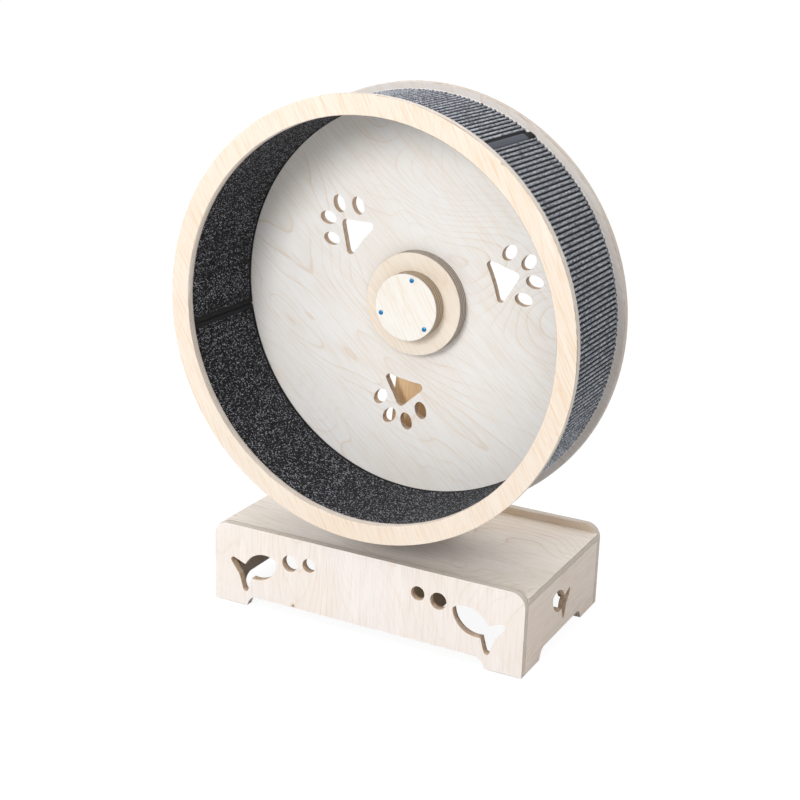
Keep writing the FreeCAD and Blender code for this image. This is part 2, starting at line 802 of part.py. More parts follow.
def block(x0, x1, y0, y1, z0, z1):
    """A box between two corners."""
    box = doc.addObject("Part::Box", "Block")
    box.setExpression("Length", (x1 - x0).text)
    box.setExpression("Width", (y1 - y0).text)
    box.setExpression("Height", (z1 - z0).text)
    bind_place(box, x0, y0, z0)
    return box


def combined(kind, label, things):
    """A Part::Compound or Part::MultiFuse of several solids."""
    result = doc.addObject(kind, label)
    result.Label = label
    if kind == "Part::Compound":
        result.Links = things
    else:
        result.Shapes = things
    return result


def subtracted(label, base, tool):
    result = doc.addObject("Part::Cut", label)
    result.Label = label
    result.Base = base
    result.Tool = tool
    return result


def make_balls(label, y):
    """A bearing's balls, the first of them straight above the axle."""
    balls = []
    for x, z in around(R_PITCH, as_size(90), BALLS):
        ball = doc.addObject("Part::Sphere", "Ball")
        ball.setExpression("Radius", s.ball_radius.text)
        bind_place(ball, x, y, z + Z_AXLE)
        balls.append(ball)
    return combined("Part::Compound", label, balls)


def make_bearing(name, y):
    """A ball bearing: two races, the balls and their cage."""
    middle = y + s.bearing_width / 2
    end = y + s.bearing_width
    track = s.ball_radius + s.ball_gap
    rise = R_PITCH - s.inner_race_radius
    half = root(track * track - rise * rise)
    bore = s.bore_radius + s.seat_gap
    inner = turned(f"{name}_bearing_inner_race", [
        (y, bore), (end, bore), (end, s.inner_race_radius), (middle + half, s.inner_race_radius),
        (middle - half, s.inner_race_radius), (y, s.inner_race_radius)], {3: -track})
    outer = turned(f"{name}_bearing_outer_race", [
        (y, s.outer_race_radius), (middle - half, s.outer_race_radius),
        (middle + half, s.outer_race_radius), (end, s.outer_race_radius),
        (end, s.bearing_radius), (y, s.bearing_radius)], {1: -track})
    balls = make_balls(f"{name}_bearing_balls", middle)
    cage = turned(f"{name}_bearing_cage", rectangle(
        middle - s.cage_width / 2, middle + s.cage_width / 2,
        R_PITCH - s.cage_thick / 2, R_PITCH + s.cage_thick / 2))
    sketch = new_sketch(cage, "XY_Plane")
    circle(sketch, (ZERO, middle), track)
    polar(cage, [cut(cage, sketch, R_PITCH + s.cage_thick, reverse=True)], BALLS)
    return [inner, outer, balls, cage]


def make_axle():
    """Axle with its flange, the spacer between the inner races, washer and nut."""
    shoulder = Y_REAR_BEARING + s.bearing_width
    front = Y_AXLE_NUT - s.axle_stub
    profile = [(front, ZERO), (Y_POST, ZERO), (Y_POST, s.axle_flange_radius),
               (Y_AXLE_FLANGE, s.axle_flange_radius), (Y_AXLE_FLANGE, s.axle_collar_radius),
               (shoulder, s.axle_collar_radius), (shoulder, s.bore_radius), (front, s.bore_radius)]
    axle = turned("axle", profile)
    places = around(s.axle_bolt_circle, s.axle_bolt_angle, AXLE_BOLTS)
    holes_round(axle, Y_POST, places, s.axle_bolt_radius + s.seat_gap, s.axle_flange_thick,
                backwards=True)
    bore = s.bore_radius + s.seat_gap
    spacer = turned("bearing_spacer", rectangle(
        Y_FRONT_BEARING + s.bearing_width, Y_REAR_BEARING, bore, s.spacer_radius))
    washer = turned("axle_washer", rectangle(Y_AXLE_WASHER, Y_FRONT_BEARING, bore,
                                             s.axle_washer_radius))
    nut = new_wheel_body("axle_nut")
    centre = [(ZERO, ZERO)]
    hex_prisms(nut, Y_AXLE_NUT, centre, s.axle_nut_radius, s.axle_nut_thick)
    holes_round(nut, Y_AXLE_NUT, centre, bore, s.axle_nut_thick)
    return [axle, spacer, washer, nut]


def make_axle_bolts():
    """Bolts through the post into the axle's flange, each with a washer under its head."""
    places = around(s.axle_bolt_circle, s.axle_bolt_angle, AXLE_BOLTS)
    bolts = new_wheel_body("axle_bolts")
    washer_back = Y_POST_BACK + s.axle_bolt_washer_thick
    length = washer_back - Y_AXLE_FLANGE
    rods(bolts, Y_AXLE_FLANGE, places, s.axle_bolt_radius, length)
    hex_prisms(bolts, washer_back, places, s.axle_bolt_head, s.axle_bolt_head_thick)
    washers = new_wheel_body("axle_bolt_washers")
    rods(washers, Y_POST_BACK, places, s.axle_bolt_washer, s.axle_bolt_washer_thick)
    holes_round(washers, Y_POST_BACK, places, s.axle_bolt_radius + s.seat_gap,
                s.axle_bolt_washer_thick)
    return [bolts, washers]


# ---------------------------------------------------------------------------
# Post and braces
# ---------------------------------------------------------------------------

def post_outline(sketch):
    """Both flanks run from the shoulders to a round head about the axle."""
    tenon = s.post_tenon_half
    foot = s.post_foot_half
    centre = FreeCAD.Vector(0, Z_AXLE.value, 0)
    head = s.post_top_radius.value
    up = FreeCAD.Vector(0, 0, 1)
    places = [(-foot, s.top_height), (-tenon, s.top_height), (-tenon, s.foot_height),
              (tenon, s.foot_height), (tenon, s.top_height), (foot, s.top_height)]
    points = [vector(place) for place in places]
    for start, end in zip(points, points[1:]):
        sketch.addGeometry(Part.LineSegment(start, end), False)
    right = centre + FreeCAD.Vector(head, 0, 0)
    left = centre - FreeCAD.Vector(head, 0, 0)
    flank_right = sketch.addGeometry(Part.LineSegment(points[-1], right), False)
    top = sketch.addGeometry(Part.ArcOfCircle(Part.Circle(centre, up, head), 0, math.pi), False)
    flank_left = sketch.addGeometry(Part.LineSegment(left, points[0]), False)
    for side in range(len(points) - 1):
        sketch.addConstraint(Sketcher.Constraint("Coincident", side, 2, side + 1, 1))
        pin_point(sketch, side, 1, places[side])
    pin_point(sketch, flank_right, 1, places[-1])
    sketch.addConstraint(Sketcher.Constraint("Tangent", flank_right, 2, top, 1))
    sketch.addConstraint(Sketcher.Constraint("Tangent", top, 2, flank_left, 1))
    sketch.addConstraint(Sketcher.Constraint("Coincident", flank_left, 2, 0, 1))
    pin_point(sketch, top, 3, (ZERO, Z_AXLE))
    bind(sketch, "Radius", top, s.post_top_radius)


def post_holes():
    """Bolts of the axle's flange, bolts of the clamp and screws into the braces, as X-Z places."""
    axle = [(x, z + Z_AXLE) for x, z in
            around(s.axle_bolt_circle, s.axle_bolt_angle, AXLE_BOLTS)]
    clamp = [(s.clamp_bolt_offset * side, Z_CLAMP_BOLT) for side in (1, -1)]
    screws = [(X_BRACE * side, z) for side in (1, -1) for z in POST_SCREW_HEIGHTS]
    return axle, clamp, screws


def make_post():
    """Two glued layers of board with a tenon that goes down between the ribs."""
    axle, clamp, screws = post_holes()
    layers = []
    for label, y in (("post_front_layer", Y_POST), ("post_rear_layer", Y_POST_MID)):
        body = new_body(label, y=y)
        sketch = new_sketch(body, "XZ_Plane")
        post_outline(sketch)
        pad(body, sketch, s.ply, reverse=True)
        holes_round(body, ZERO, axle, s.axle_bolt_radius + s.seat_gap, s.ply)
        holes_round(body, ZERO, clamp, s.clamp_bolt_radius + s.seat_gap, s.ply)
        holes_round(body, ZERO, screws, s.screw_radius + s.seat_gap, s.ply)
        layers.append(body)
    holes_round(layers[0], ZERO, screws, s.screw_head + s.slip_gap, s.screw_head_thick)
    return layers


def make_braces():
    """Two braces behind the post, from the post's back to the back panel's inner face."""
    braces = []
    corner = (Y_POST_BACK + s.brace_top, Z_BRACE)
    profile = [(Y_POST_BACK, s.top_height), (Y_BOX_BACK, s.top_height), (Y_BOX_BACK, Z_BACK),
               corner, (Y_POST_BACK, Z_BRACE)]
    for label, left in (("left_brace", -s.brace_offset - s.ply), ("right_brace", s.brace_offset)):
        body = new_body(label, x=left)
        sketch = new_sketch(body, "YZ_Plane")
        outline(sketch, profile)
        pad(body, sketch, s.ply)
        fillet(body, along_x(values([corner])), s.brace_round)
        into = [(s.ply / 2, z) for z in POST_SCREW_HEIGHTS]
        holes_round(body, Y_POST_BACK, into, s.screw_radius + s.seat_gap,
                    s.post_screw_length - s.ply * 2)
        sketch = new_sketch(body, "XY_Plane", offset=s.top_height)
        for y in BRACE_SCREW_PLACES:
            circle(sketch, (s.ply / 2, y), s.screw_radius + s.seat_gap)
        cut(body, sketch, s.brace_screw_length - s.ply, reverse=True)
        braces.append(body)
    return braces


def screw(direction, x, y, z, length, sign):
    """A wood screw with a flat head. x, y, z is the middle of the head's outer face, and sign says
    which way along the direction it goes in."""
    head = s.screw_head_thick
    starts = {True: (ZERO, head), False: (-head, -length)}[sign > 0]
    solids = []
    for start, radius, reach in ((starts[0], s.screw_head, head),
                                 (starts[1], s.screw_radius, length - head)):
        place = {"x": x, "y": y, "z": z}
        place[direction] = place[direction] + start
        solids.append(cylinder_along(direction, place["x"], place["y"], place["z"], radius, reach))
    return combined("Part::MultiFuse", "Screw", solids)


def make_post_screws():
    """Screws through both layers of the post into the braces."""
    screws = [screw("y", X_BRACE * side, Y_POST, z, s.post_screw_length, 1)
              for side in (1, -1) for z in POST_SCREW_HEIGHTS]
    return combined("Part::Compound", "post_screws", screws)


def make_brace_screws():
    """Screws from under the top board up into the braces."""
    screws = [screw("z", X_BRACE * side, y, Z_BOARD, s.brace_screw_length, 1)
              for side in (1, -1) for y in BRACE_SCREW_PLACES]
    return combined("Part::Compound", "brace_screws", screws)


def make_clamp():
    """Blocks before and behind the tenon, and two bolts through all of it."""
    places = [(s.clamp_bolt_offset * side, Z_CLAMP_BOLT) for side in (1, -1)]
    made = []
    for label, y in (("front_clamp_block", Y_CLAMP), ("rear_clamp_block", Y_POST_BACK)):
        body = new_body(label, y=y)
        sketch = new_sketch(body, "XZ_Plane")
        outline(sketch, rectangle(-s.post_tenon_half, s.post_tenon_half, Z_CLAMP,
                                  Z_CLAMP + s.clamp_height))
        pad(body, sketch, s.clamp_depth, reverse=True)
        holes_round(body, ZERO, places, s.clamp_bolt_radius + s.seat_gap, s.clamp_depth)
        made.append(body)
    bolts = new_body("clamp_bolts")
    reach = Y_CLAMP_BACK - Y_CLAMP + s.clamp_nut_thick + s.bolt_stub
    rods(bolts, Y_CLAMP, places, s.clamp_bolt_radius, reach)
    hex_prisms(bolts, Y_CLAMP - s.clamp_head_thick, places, s.clamp_head_radius, s.clamp_head_thick)
    nuts = new_body("clamp_nuts")
    hex_prisms(nuts, Y_CLAMP_BACK, places, s.clamp_head_radius, s.clamp_nut_thick)
    holes_round(nuts, Y_CLAMP_BACK, places, s.clamp_bolt_radius + s.seat_gap / 2, s.clamp_nut_thick)
    return made + [bolts, nuts]


# ---------------------------------------------------------------------------
# Base
# ---------------------------------------------------------------------------

def fish(sketch, facing, scale):
    """A fish about the sketch's middle, its nose towards +X or -X, with the radii of its body."""
    def place(x, y):
        return (x * scale * facing, y * scale)
    corners = [place(s.fish_nose, ZERO), place(-s.fish_neck, s.fish_neck_half),
               place(-s.fish_tail, s.fish_tail_half), place(-s.fish_fork, ZERO),
               place(-s.fish_tail, -s.fish_tail_half), place(-s.fish_neck, -s.fish_neck_half)]
    bow = s.fish_bow * scale * facing
    outline(sketch, corners, {0: bow, 5: bow})


def fish_rounds(facing, scale, middle, tilt):
    """Where the fish's nose and tail tips lie in the board's plane."""
    turn = math.radians(tilt.value)
    found = []
    for x, y in ((s.fish_nose, ZERO), (-s.fish_tail, s.fish_tail_half),
                 (-s.fish_tail, -s.fish_tail_half)):
        across = x.value * scale.value * facing
        up = y.value * scale.value
        found.append((middle[0].value + across * math.cos(turn) - up * math.sin(turn),
                      middle[1].value + across * math.sin(turn) + up * math.cos(turn)))
    return found


def panel_outline(half_length, low, foot, arch, top):
    """A board between -half_length and half_length with two feet and an arch between them."""
    inner = half_length - foot
    crown = inner - s.foot_slant
    return [(-half_length, low), (-inner, low), (-crown, arch), (crown, arch), (inner, low),
            (half_length, low), (half_length, top), (-half_length, top)]


def make_panel(label, y, top):
    """The front or the back panel, before its cut-outs."""
    body = new_body(label, y=y)
    sketch = new_sketch(body, "XZ_Plane")
    corners = panel_outline(HALF, s.pad_thick, s.foot_length, s.foot_height, top)
    outline(sketch, corners)
    pad(body, sketch, s.ply, reverse=True)
    fillet(body, along_y(values(corners[6:])), s.corner_round)
    fillet(body, along_y(values(corners[2:4])), s.foot_round)
    return body


def dowel_places():
    """The middles of the dowels in the front and back panels, as X and Z."""
    return [(left + s.ply / 2, z) for left in UPRIGHTS.values() for z in DOWEL_HEIGHTS]


def make_front_panel():
    body = make_panel("front_panel", Y_FRONT, Z_FRONT)
    for facing in (1, -1):
        middle = (-s.fish_x * facing, s.fish_z)
        tilt = s.fish_tilt * facing
        sketch = new_sketch(body, "XZ_Plane", across=middle[0], up=middle[1], turn=tilt)
        fish(sketch, facing, as_size(1))
        cut(body, sketch, s.ply)
        fillet(body, along_y(fish_rounds(facing, as_size(1), middle, tilt)), s.fish_round)
    for x, z, radius in ((s.big_bubble_x, s.big_bubble_z, s.big_bubble_radius),
                         (s.small_bubble_x, s.small_bubble_z, s.small_bubble_radius)):
        holes_round(body, ZERO, [(x, z), (-x, z)], radius, s.ply)
    holes_round(body, s.ply, dowel_places(), s.dowel_radius + s.seat_gap, s.dowel_in_panel,
                backwards=True)
    return body


def make_back_panel():
    body = make_panel("back_panel", Y_BOX_BACK, Z_BACK)
    holes_round(body, ZERO, dowel_places(), s.dowel_radius + s.seat_gap, s.dowel_in_panel)
    return body


def dowel_holes(body):
    """Holes in the ends and the upper edge of a board that runs from front to back."""
    middle = s.ply / 2
    radius = s.dowel_radius + s.seat_gap
    depth = s.dowel_length - s.dowel_in_panel
    places = [(middle, z) for z in DOWEL_HEIGHTS]
    holes_round(body, Y_BOX, places, radius, depth)
    holes_round(body, Y_BOX_BACK, places, radius, depth, backwards=True)
    sketch = new_sketch(body, "XY_Plane", offset=Z_BOARD)
    for y in TOP_DOWEL_PLACES:
        circle(sketch, (middle, y), radius)
    cut(body, sketch, depth)


def make_side_panel(label, side):
    """A side panel with feet, an arch and a fish that swims to the front."""
    body = new_body(label, x=UPRIGHTS[label])
    sketch = new_sketch(body, "YZ_Plane")
    front_foot = Y_BOX + s.side_foot_length
    back_foot = Y_BOX_BACK - s.side_foot_length
    crowns = [(front_foot + s.foot_slant, s.foot_height), (back_foot - s.foot_slant, s.foot_height)]
    outline(sketch, [(Y_BOX, s.pad_thick), (front_foot, s.pad_thick), *crowns,
                     (back_foot, s.pad_thick), (Y_BOX_BACK, s.pad_thick), (Y_BOX_BACK, Z_BOARD),
                     (Y_BOX, Z_BOARD)])
    pad(body, sketch, s.ply)
    fillet(body, along_x(values(crowns)), s.foot_round)
    middle = (Y_FRONT + s.side_fish_depth, s.side_fish_z)
    tilt = -s.fish_tilt
    sketch = new_sketch(body, "YZ_Plane", across=middle[0], up=middle[1], turn=tilt)
    fish(sketch, -1, s.side_fish_scale)
    cut(body, sketch, s.ply, reverse=True)
    rounds = fish_rounds(-1, s.side_fish_scale, middle, tilt)
    fillet(body, along_x(rounds), s.fish_round * s.side_fish_scale)
    dowel_holes(body)
    inner_face = s.ply if side < 0 else ZERO
    sketch = new_sketch(body, "YZ_Plane", offset=inner_face)
    for y in (Y_BOX + s.block_size / 2, Y_BOX_BACK - s.block_size / 2):
        for z in BLOCK_SCREW_HEIGHTS:
            circle(sketch, (y, z), s.screw_radius + s.seat_gap)
    cut(body, sketch, s.block_screw_length - s.block_size, reverse=side > 0)
    return body


def make_rib(label):
    body = new_body(label, x=UPRIGHTS[label])
    sketch = new_sketch(body, "YZ_Plane")
    outline(sketch, rectangle(Y_BOX, Y_BOX_BACK, s.foot_height, Z_BOARD))
    pad(body, sketch, s.ply)
    dowel_holes(body)
    return body


def make_top_board():
    body = new_body("top_board", z=Z_BOARD)
    sketch = new_sketch(body, "XY_Plane")
    outline(sketch, rectangle(-HALF, HALF, Y_BOX, Y_BOX_BACK))
    pad(body, sketch, s.ply)
    slot = s.post_tenon_half + s.slip_gap
    sketch = new_sketch(body, "XY_Plane")
    outline(sketch, rectangle(-slot, slot, Y_POST - s.slip_gap, Y_POST_BACK + s.slip_gap))
    cut(body, sketch, s.ply, reverse=True)
    for places, radius, depth in (
            ([(left + s.ply / 2, y) for left in UPRIGHTS.values() for y in TOP_DOWEL_PLACES],
             s.dowel_radius + s.seat_gap, s.dowel_in_panel),
            ([(X_BRACE * side, y) for side in (1, -1) for y in BRACE_SCREW_PLACES],
             s.screw_radius + s.seat_gap, s.ply),
            ([(X_BRACE * side, y) for side in (1, -1) for y in BRACE_SCREW_PLACES],
             s.screw_head + s.slip_gap, s.screw_head_thick)):
        sketch = new_sketch(body, "XY_Plane")
        for place in places:
            circle(sketch, place, radius)
        cut(body, sketch, depth, reverse=True)
    return body


def make_corner_blocks():
    """Blocks glued and screwed into the corners, and their screws."""
    blocks = []
    screws = []
    for side in (-1, 1):
        face = X_SIDE * side
        inner = face - s.block_size * side
        low, high = (face, inner) if side < 0 else (inner, face)
        for y in (Y_BOX, Y_BOX_BACK - s.block_size):
            solid = block(low, high, y, y + s.block_size, Z_BLOCK, Z_BOARD)
            middle = y + s.block_size / 2
            start = low
            bores = [cylinder_along("x", start, middle, z, s.screw_radius + s.seat_gap, s.block_size)
                     for z in BLOCK_SCREW_HEIGHTS]
            seat = inner if side > 0 else inner - s.screw_head_thick
            bores += [cylinder_along("x", seat, middle, z, s.screw_head + s.slip_gap,
                                     s.screw_head_thick) for z in BLOCK_SCREW_HEIGHTS]
            blocks.append(subtracted("Block", solid, combined("Part::MultiFuse", "Bores", bores)))
            screws += [screw("x", inner, middle, z, s.block_screw_length, side)
                       for z in BLOCK_SCREW_HEIGHTS]
    return [combined("Part::Compound", "corner_blocks", blocks),
            combined("Part::Compound", "corner_block_screws", screws)]


def make_dowels():
    """Dowels between the upright boards and the panels, and between them and the top board."""
    level = []
    upright = []
    outside = s.dowel_length - s.dowel_in_panel
    for left in UPRIGHTS.values():
        middle = left + s.ply / 2
        for start in (Y_BOX - s.dowel_in_panel, Y_BOX_BACK - outside):
            level += [cylinder_along("y", middle, start, z, s.dowel_radius, s.dowel_length)
                      for z in DOWEL_HEIGHTS]
        upright += [cylinder_along("z", middle, y, Z_BOARD - outside, s.dowel_radius, s.dowel_length)
                    for y in TOP_DOWEL_PLACES]
    return [combined("Part::Compound", "panel_dowels", level),
            combined("Part::Compound", "top_board_dowels", upright)]


def make_foot_pads():
    """Thin rubber pads under the feet."""
    pads = []
    margin = (s.ply - s.pad_width) / 2
    for side in (-1, 1):
        ends = (HALF - s.pad_inset, HALF - s.foot_length + s.pad_inset)
        low, high = sorted((end * side for end in ends), key=lambda place: place.value)
        for y in (Y_FRONT + margin, Y_BOX_BACK + margin):
            pads.append(block(low, high, y, y + s.pad_width, ZERO, s.pad_thick))
        edge = HALF * side
        low, high = (edge + margin, edge + s.ply - margin) if side < 0 else (
            edge - s.ply + margin, edge - margin)
        length = s.side_foot_length - s.pad_inset
        for start in (Y_BOX, Y_BOX_BACK - length):
            pads.append(block(low, high, start, start + length, ZERO, s.pad_thick))
    return combined("Part::Compound", "foot_pads", pads)


# ---------------------------------------------------------------------------
# The whole object
# ---------------------------------------------------------------------------

def make_all():
    """Every sub-part of the wheel and its stand."""
    wheel = [make_front_ring(), make_back_disc(), *make_drum_shells(), *make_mats(),
             *make_outer_carpet(), make_hub_plate(), make_hub_cap(), make_cap_screws(),
             make_hub_screws(), make_bearing_housing(), *make_housing_bolts()]
    bearings = [*make_bearing("front", Y_FRONT_BEARING), *make_bearing("rear", Y_REAR_BEARING)]
    stand = [*make_axle(), *make_axle_bolts(), *make_post(), *make_braces(), make_post_screws(),
             make_brace_screws(), *make_clamp()]
    base = [make_front_panel(), make_back_panel(), make_side_panel("left_side_panel", -1),
            make_side_panel("right_side_panel", 1), make_rib("left_rib"), make_rib("right_rib"),
            make_top_board(), *make_corner_blocks(), *make_dowels(), make_foot_pads()]
    return wheel + bearings + stand + base


def check(parts):
    """Stop if anything in the document failed or a sub-part is unsound."""
    for thing in doc.Objects:
        if "Invalid" in thing.State or "Error" in thing.State:
            raise RuntimeError(f"{thing.Label} failed: {thing.State}")
    for part in parts:
        if part.Shape.isNull() or not part.Shape.isValid():
            raise RuntimeError(f"{part.Label} has no sound shape")


def export(parts):
    """Write one STEP file for each sub-part."""
    os.makedirs("parts", exist_ok=True)
    for part in parts:
        part.Shape.exportStep(f"parts/{part.Label}.step")
        print(f"{part.Label}: {len(part.Shape.Solids)} solids, {part.Shape.Volume / 1000:.1f} cm3")


all_parts = make_all()
doc.recompute()
check(all_parts)
export(all_parts)
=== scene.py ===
import math

import bmesh
import bpy
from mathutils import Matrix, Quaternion, Vector, noise


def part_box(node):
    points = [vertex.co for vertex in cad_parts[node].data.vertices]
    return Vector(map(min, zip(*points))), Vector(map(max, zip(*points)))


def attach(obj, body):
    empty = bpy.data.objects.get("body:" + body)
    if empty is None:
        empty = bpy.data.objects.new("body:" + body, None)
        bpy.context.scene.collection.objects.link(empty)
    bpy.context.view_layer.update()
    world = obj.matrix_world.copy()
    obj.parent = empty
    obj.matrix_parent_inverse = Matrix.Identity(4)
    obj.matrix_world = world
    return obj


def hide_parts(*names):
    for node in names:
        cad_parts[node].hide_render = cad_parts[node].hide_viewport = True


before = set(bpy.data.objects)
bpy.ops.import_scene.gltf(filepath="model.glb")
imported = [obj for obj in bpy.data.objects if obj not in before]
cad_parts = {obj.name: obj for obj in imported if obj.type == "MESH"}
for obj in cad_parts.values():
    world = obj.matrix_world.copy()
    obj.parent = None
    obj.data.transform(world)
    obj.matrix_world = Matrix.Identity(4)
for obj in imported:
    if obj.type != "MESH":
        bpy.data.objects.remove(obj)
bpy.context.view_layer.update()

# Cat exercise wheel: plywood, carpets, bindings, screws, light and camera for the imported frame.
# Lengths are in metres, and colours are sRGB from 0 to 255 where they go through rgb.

MM = 0.001


def extent(node, axis):
    """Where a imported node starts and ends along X, Y or Z, to the micrometre."""
    return [round(corner["XYZ".index(axis)], 6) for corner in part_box(node)]


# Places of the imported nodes. Y runs from the ring at the front to the disc at the back.
AXLE_Z = sum(extent("hub_cap", "Z")) / 2
HUB_CAP_FRONT, _ = extent("hub_cap", "Y")
_, RING_BACK = extent("front_ring", "Y")
DISC_FRONT, _ = extent("back_disc", "Y")
MAT_LOW_Y, MAT_HIGH_Y = extent("upper_inner_mat", "Y")

# Radii and angles about the axle.
DRUM_INSIDE = 0.3735            # the mats lie against it
DRUM_OUTSIDE = 0.3825           # the outer carpet lies against it
DRUM_THICK = DRUM_OUTSIDE - DRUM_INSIDE
MAT_THICK = 0.0049
MAT_FACE = DRUM_INSIDE - MAT_THICK
SEAM_ANGLE = math.radians(8.5)  # the mats' seams, this one and the opposite one
STRIP_ANGLE = math.radians(57.5)
STRIP_WIDTH = 0.017
RIBS = 272
RIB_ANGLE = 2 * math.pi / RIBS


# ---------------------------------------------------------------- nodes

class Nodes:
    """A node tree under construction: most methods add a node and return its output."""

    def __init__(self, tree):
        self.tree = tree
        tree.nodes.clear()

    def add(self, kind, values=None, **settings):
        node = self.tree.nodes.new(kind)
        for name, value in settings.items():
            setattr(node, name, value)
        for key, value in (values or {}).items():
            self.feed(node.inputs[key], value)
        return node

    def feed(self, socket, value):
        if isinstance(value, bpy.types.NodeSocket):
            self.tree.links.new(value, socket)
        else:
            socket.default_value = value

    def math(self, operation, *values):
        return self.add("ShaderNodeMath", dict(enumerate(values)), operation=operation).outputs[0]

    def times(self, one, two):
        return self.math("MULTIPLY", one, two)

    def plus(self, one, two):
        return self.math("ADD", one, two)

    def minus(self, one, two):
        return self.math("SUBTRACT", one, two)

    def hypotenuse(self, one, two):
        return self.math("SQRT", self.plus(self.times(one, one), self.times(two, two)))

    def vector(self, operation, *values):
        return self.add("ShaderNodeVectorMath", dict(enumerate(values)), operation=operation).outputs[0]

    def split(self, vector):
        return self.add("ShaderNodeSeparateXYZ", {0: vector}).outputs

    def join(self, x, y, z):
        return self.add("ShaderNodeCombineXYZ", {0: x, 1: y, 2: z}).outputs[0]

    def fit(self, value, low, high, to_low=0.0, to_high=1.0, shape="SMOOTHSTEP"):
        """The value, moved from the range low to high into the range to_low to to_high."""
        limits = {"From Min": low, "From Max": high, "To Min": to_low, "To Max": to_high}
        node = self.add("ShaderNodeMapRange", {"Value": value, **limits}, interpolation_type=shape)
        return node.outputs[0]

    def noise(self, vector, scale=1.0, detail=2.0, rough=0.5, warp=0.0):
        values = {"Scale": scale, "Detail": detail, "Roughness": rough, "Distortion": warp}
        return self.add("ShaderNodeTexNoise", {"Vector": vector, **values}).outputs[0]

    def mix(self, factor, one, two):
        node = self.add("ShaderNodeMix", data_type="RGBA")
        self.feed(node.inputs[0], factor)
        self.feed(node.inputs[6], one)
        self.feed(node.inputs[7], two)
        return node.outputs[2]

    def curve(self, value, *stops):
        """Piecewise-linear value through (position, height) stops."""
        node = self.add("ShaderNodeValToRGB", {0: value})
        ramp = node.color_ramp
        while len(ramp.elements) < len(stops):
            ramp.elements.new(1.0)
        for element, (position, height) in zip(ramp.elements, stops):
            element.position = position
            element.color = grey(height)
        return node.outputs[0]


class Material(Nodes):
    """The nodes of a new material, and the places that its patterns are drawn from."""

    def __init__(self, name):
        self.material = bpy.data.materials.new(name)
        self.material.use_nodes = True
        super().__init__(self.material.node_tree)
        coordinates = self.add("ShaderNodeTexCoord")
        self.place = coordinates.outputs["Object"]
        self.normal = coordinates.outputs["Normal"]

    def about_axle(self):
        """Distance from the axle's line, and angle about it."""
        x, _, z = self.split(self.place)
        up = self.minus(z, AXLE_Z)
        return self.hypotenuse(x, up), self.math("ARCTAN2", up, x)

    def bump(self, height, distance, strength):
        values = {"Height": height, "Distance": distance, "Strength": strength}
        return self.add("ShaderNodeBump", values).outputs[0]

    def finish(self, colour, roughness, bump, **more):
        values = {"Base Color": colour, "Roughness": roughness, "Normal": bump}
        values.update((name.replace("_", " "), value) for name, value in more.items())
        shader = self.add("ShaderNodeBsdfPrincipled", values)
        self.add("ShaderNodeOutputMaterial", {"Surface": shader.outputs[0]})
        return self.material


def grey(level):
    """A linear grey; 1 is white."""
    return (level, level, level, 1)


def rgb(colour, factor=1.0):
    """An sRGB colour, 0 to 255, times factor, as Blender's linear colour."""
    def linear(value):
        value = value * factor / 255
        return value / 12.92 if value <= 0.04045 else ((value + 0.055) / 1.055) ** 2.4
    return tuple(linear(value) for value in colour) + (1.0,)


# ---------------------------------------------------------------- plywood

PORE = (158, 126, 96)
KNOT_HALO, KNOT_HEART = (196, 156, 116), (104, 70, 46)
GLUE_LINE, ARRIS_LINE = (156, 122, 98), (150, 104, 76)
SCORCH_LIGHT, SCORCH_DARK = (236, 206, 172), (202, 166, 130)
# Brown-grey of the painted shade on the back disc's rim beyond the carpet.
RIM_SHADE_TONE = (136, 106, 84)
WARMTH = (0.995, 0.984, 0.968)  # red, green and blue of a veneer's warm clouds
FIGURE_LINES = 46.0             # level lines over the full range of the figure's noise
BURN_FADE = 2 * MM


def sheet_places(s, axis):
    """Depth in a sheet, its two plane coordinates, and how squarely a point faces along the depth.
    axis is X, Y or Z, or R for a sheet bent round the axle."""
    x, y, z = s.split(s.place)
    if axis == "R":
        depth, angle = s.about_axle()
        facing = s.minus(1.0, s.math("ABSOLUTE", s.split(s.normal)[1]))
        return depth, y, s.times(angle, DRUM_OUTSIDE), facing
    number = "XYZ".index(axis)
    across, along = {"X": (y, z), "Y": (x, z), "Z": (x, y)}[axis]
    return (x, y, z)[number], across, along, s.math("ABSOLUTE", s.split(s.normal)[number])


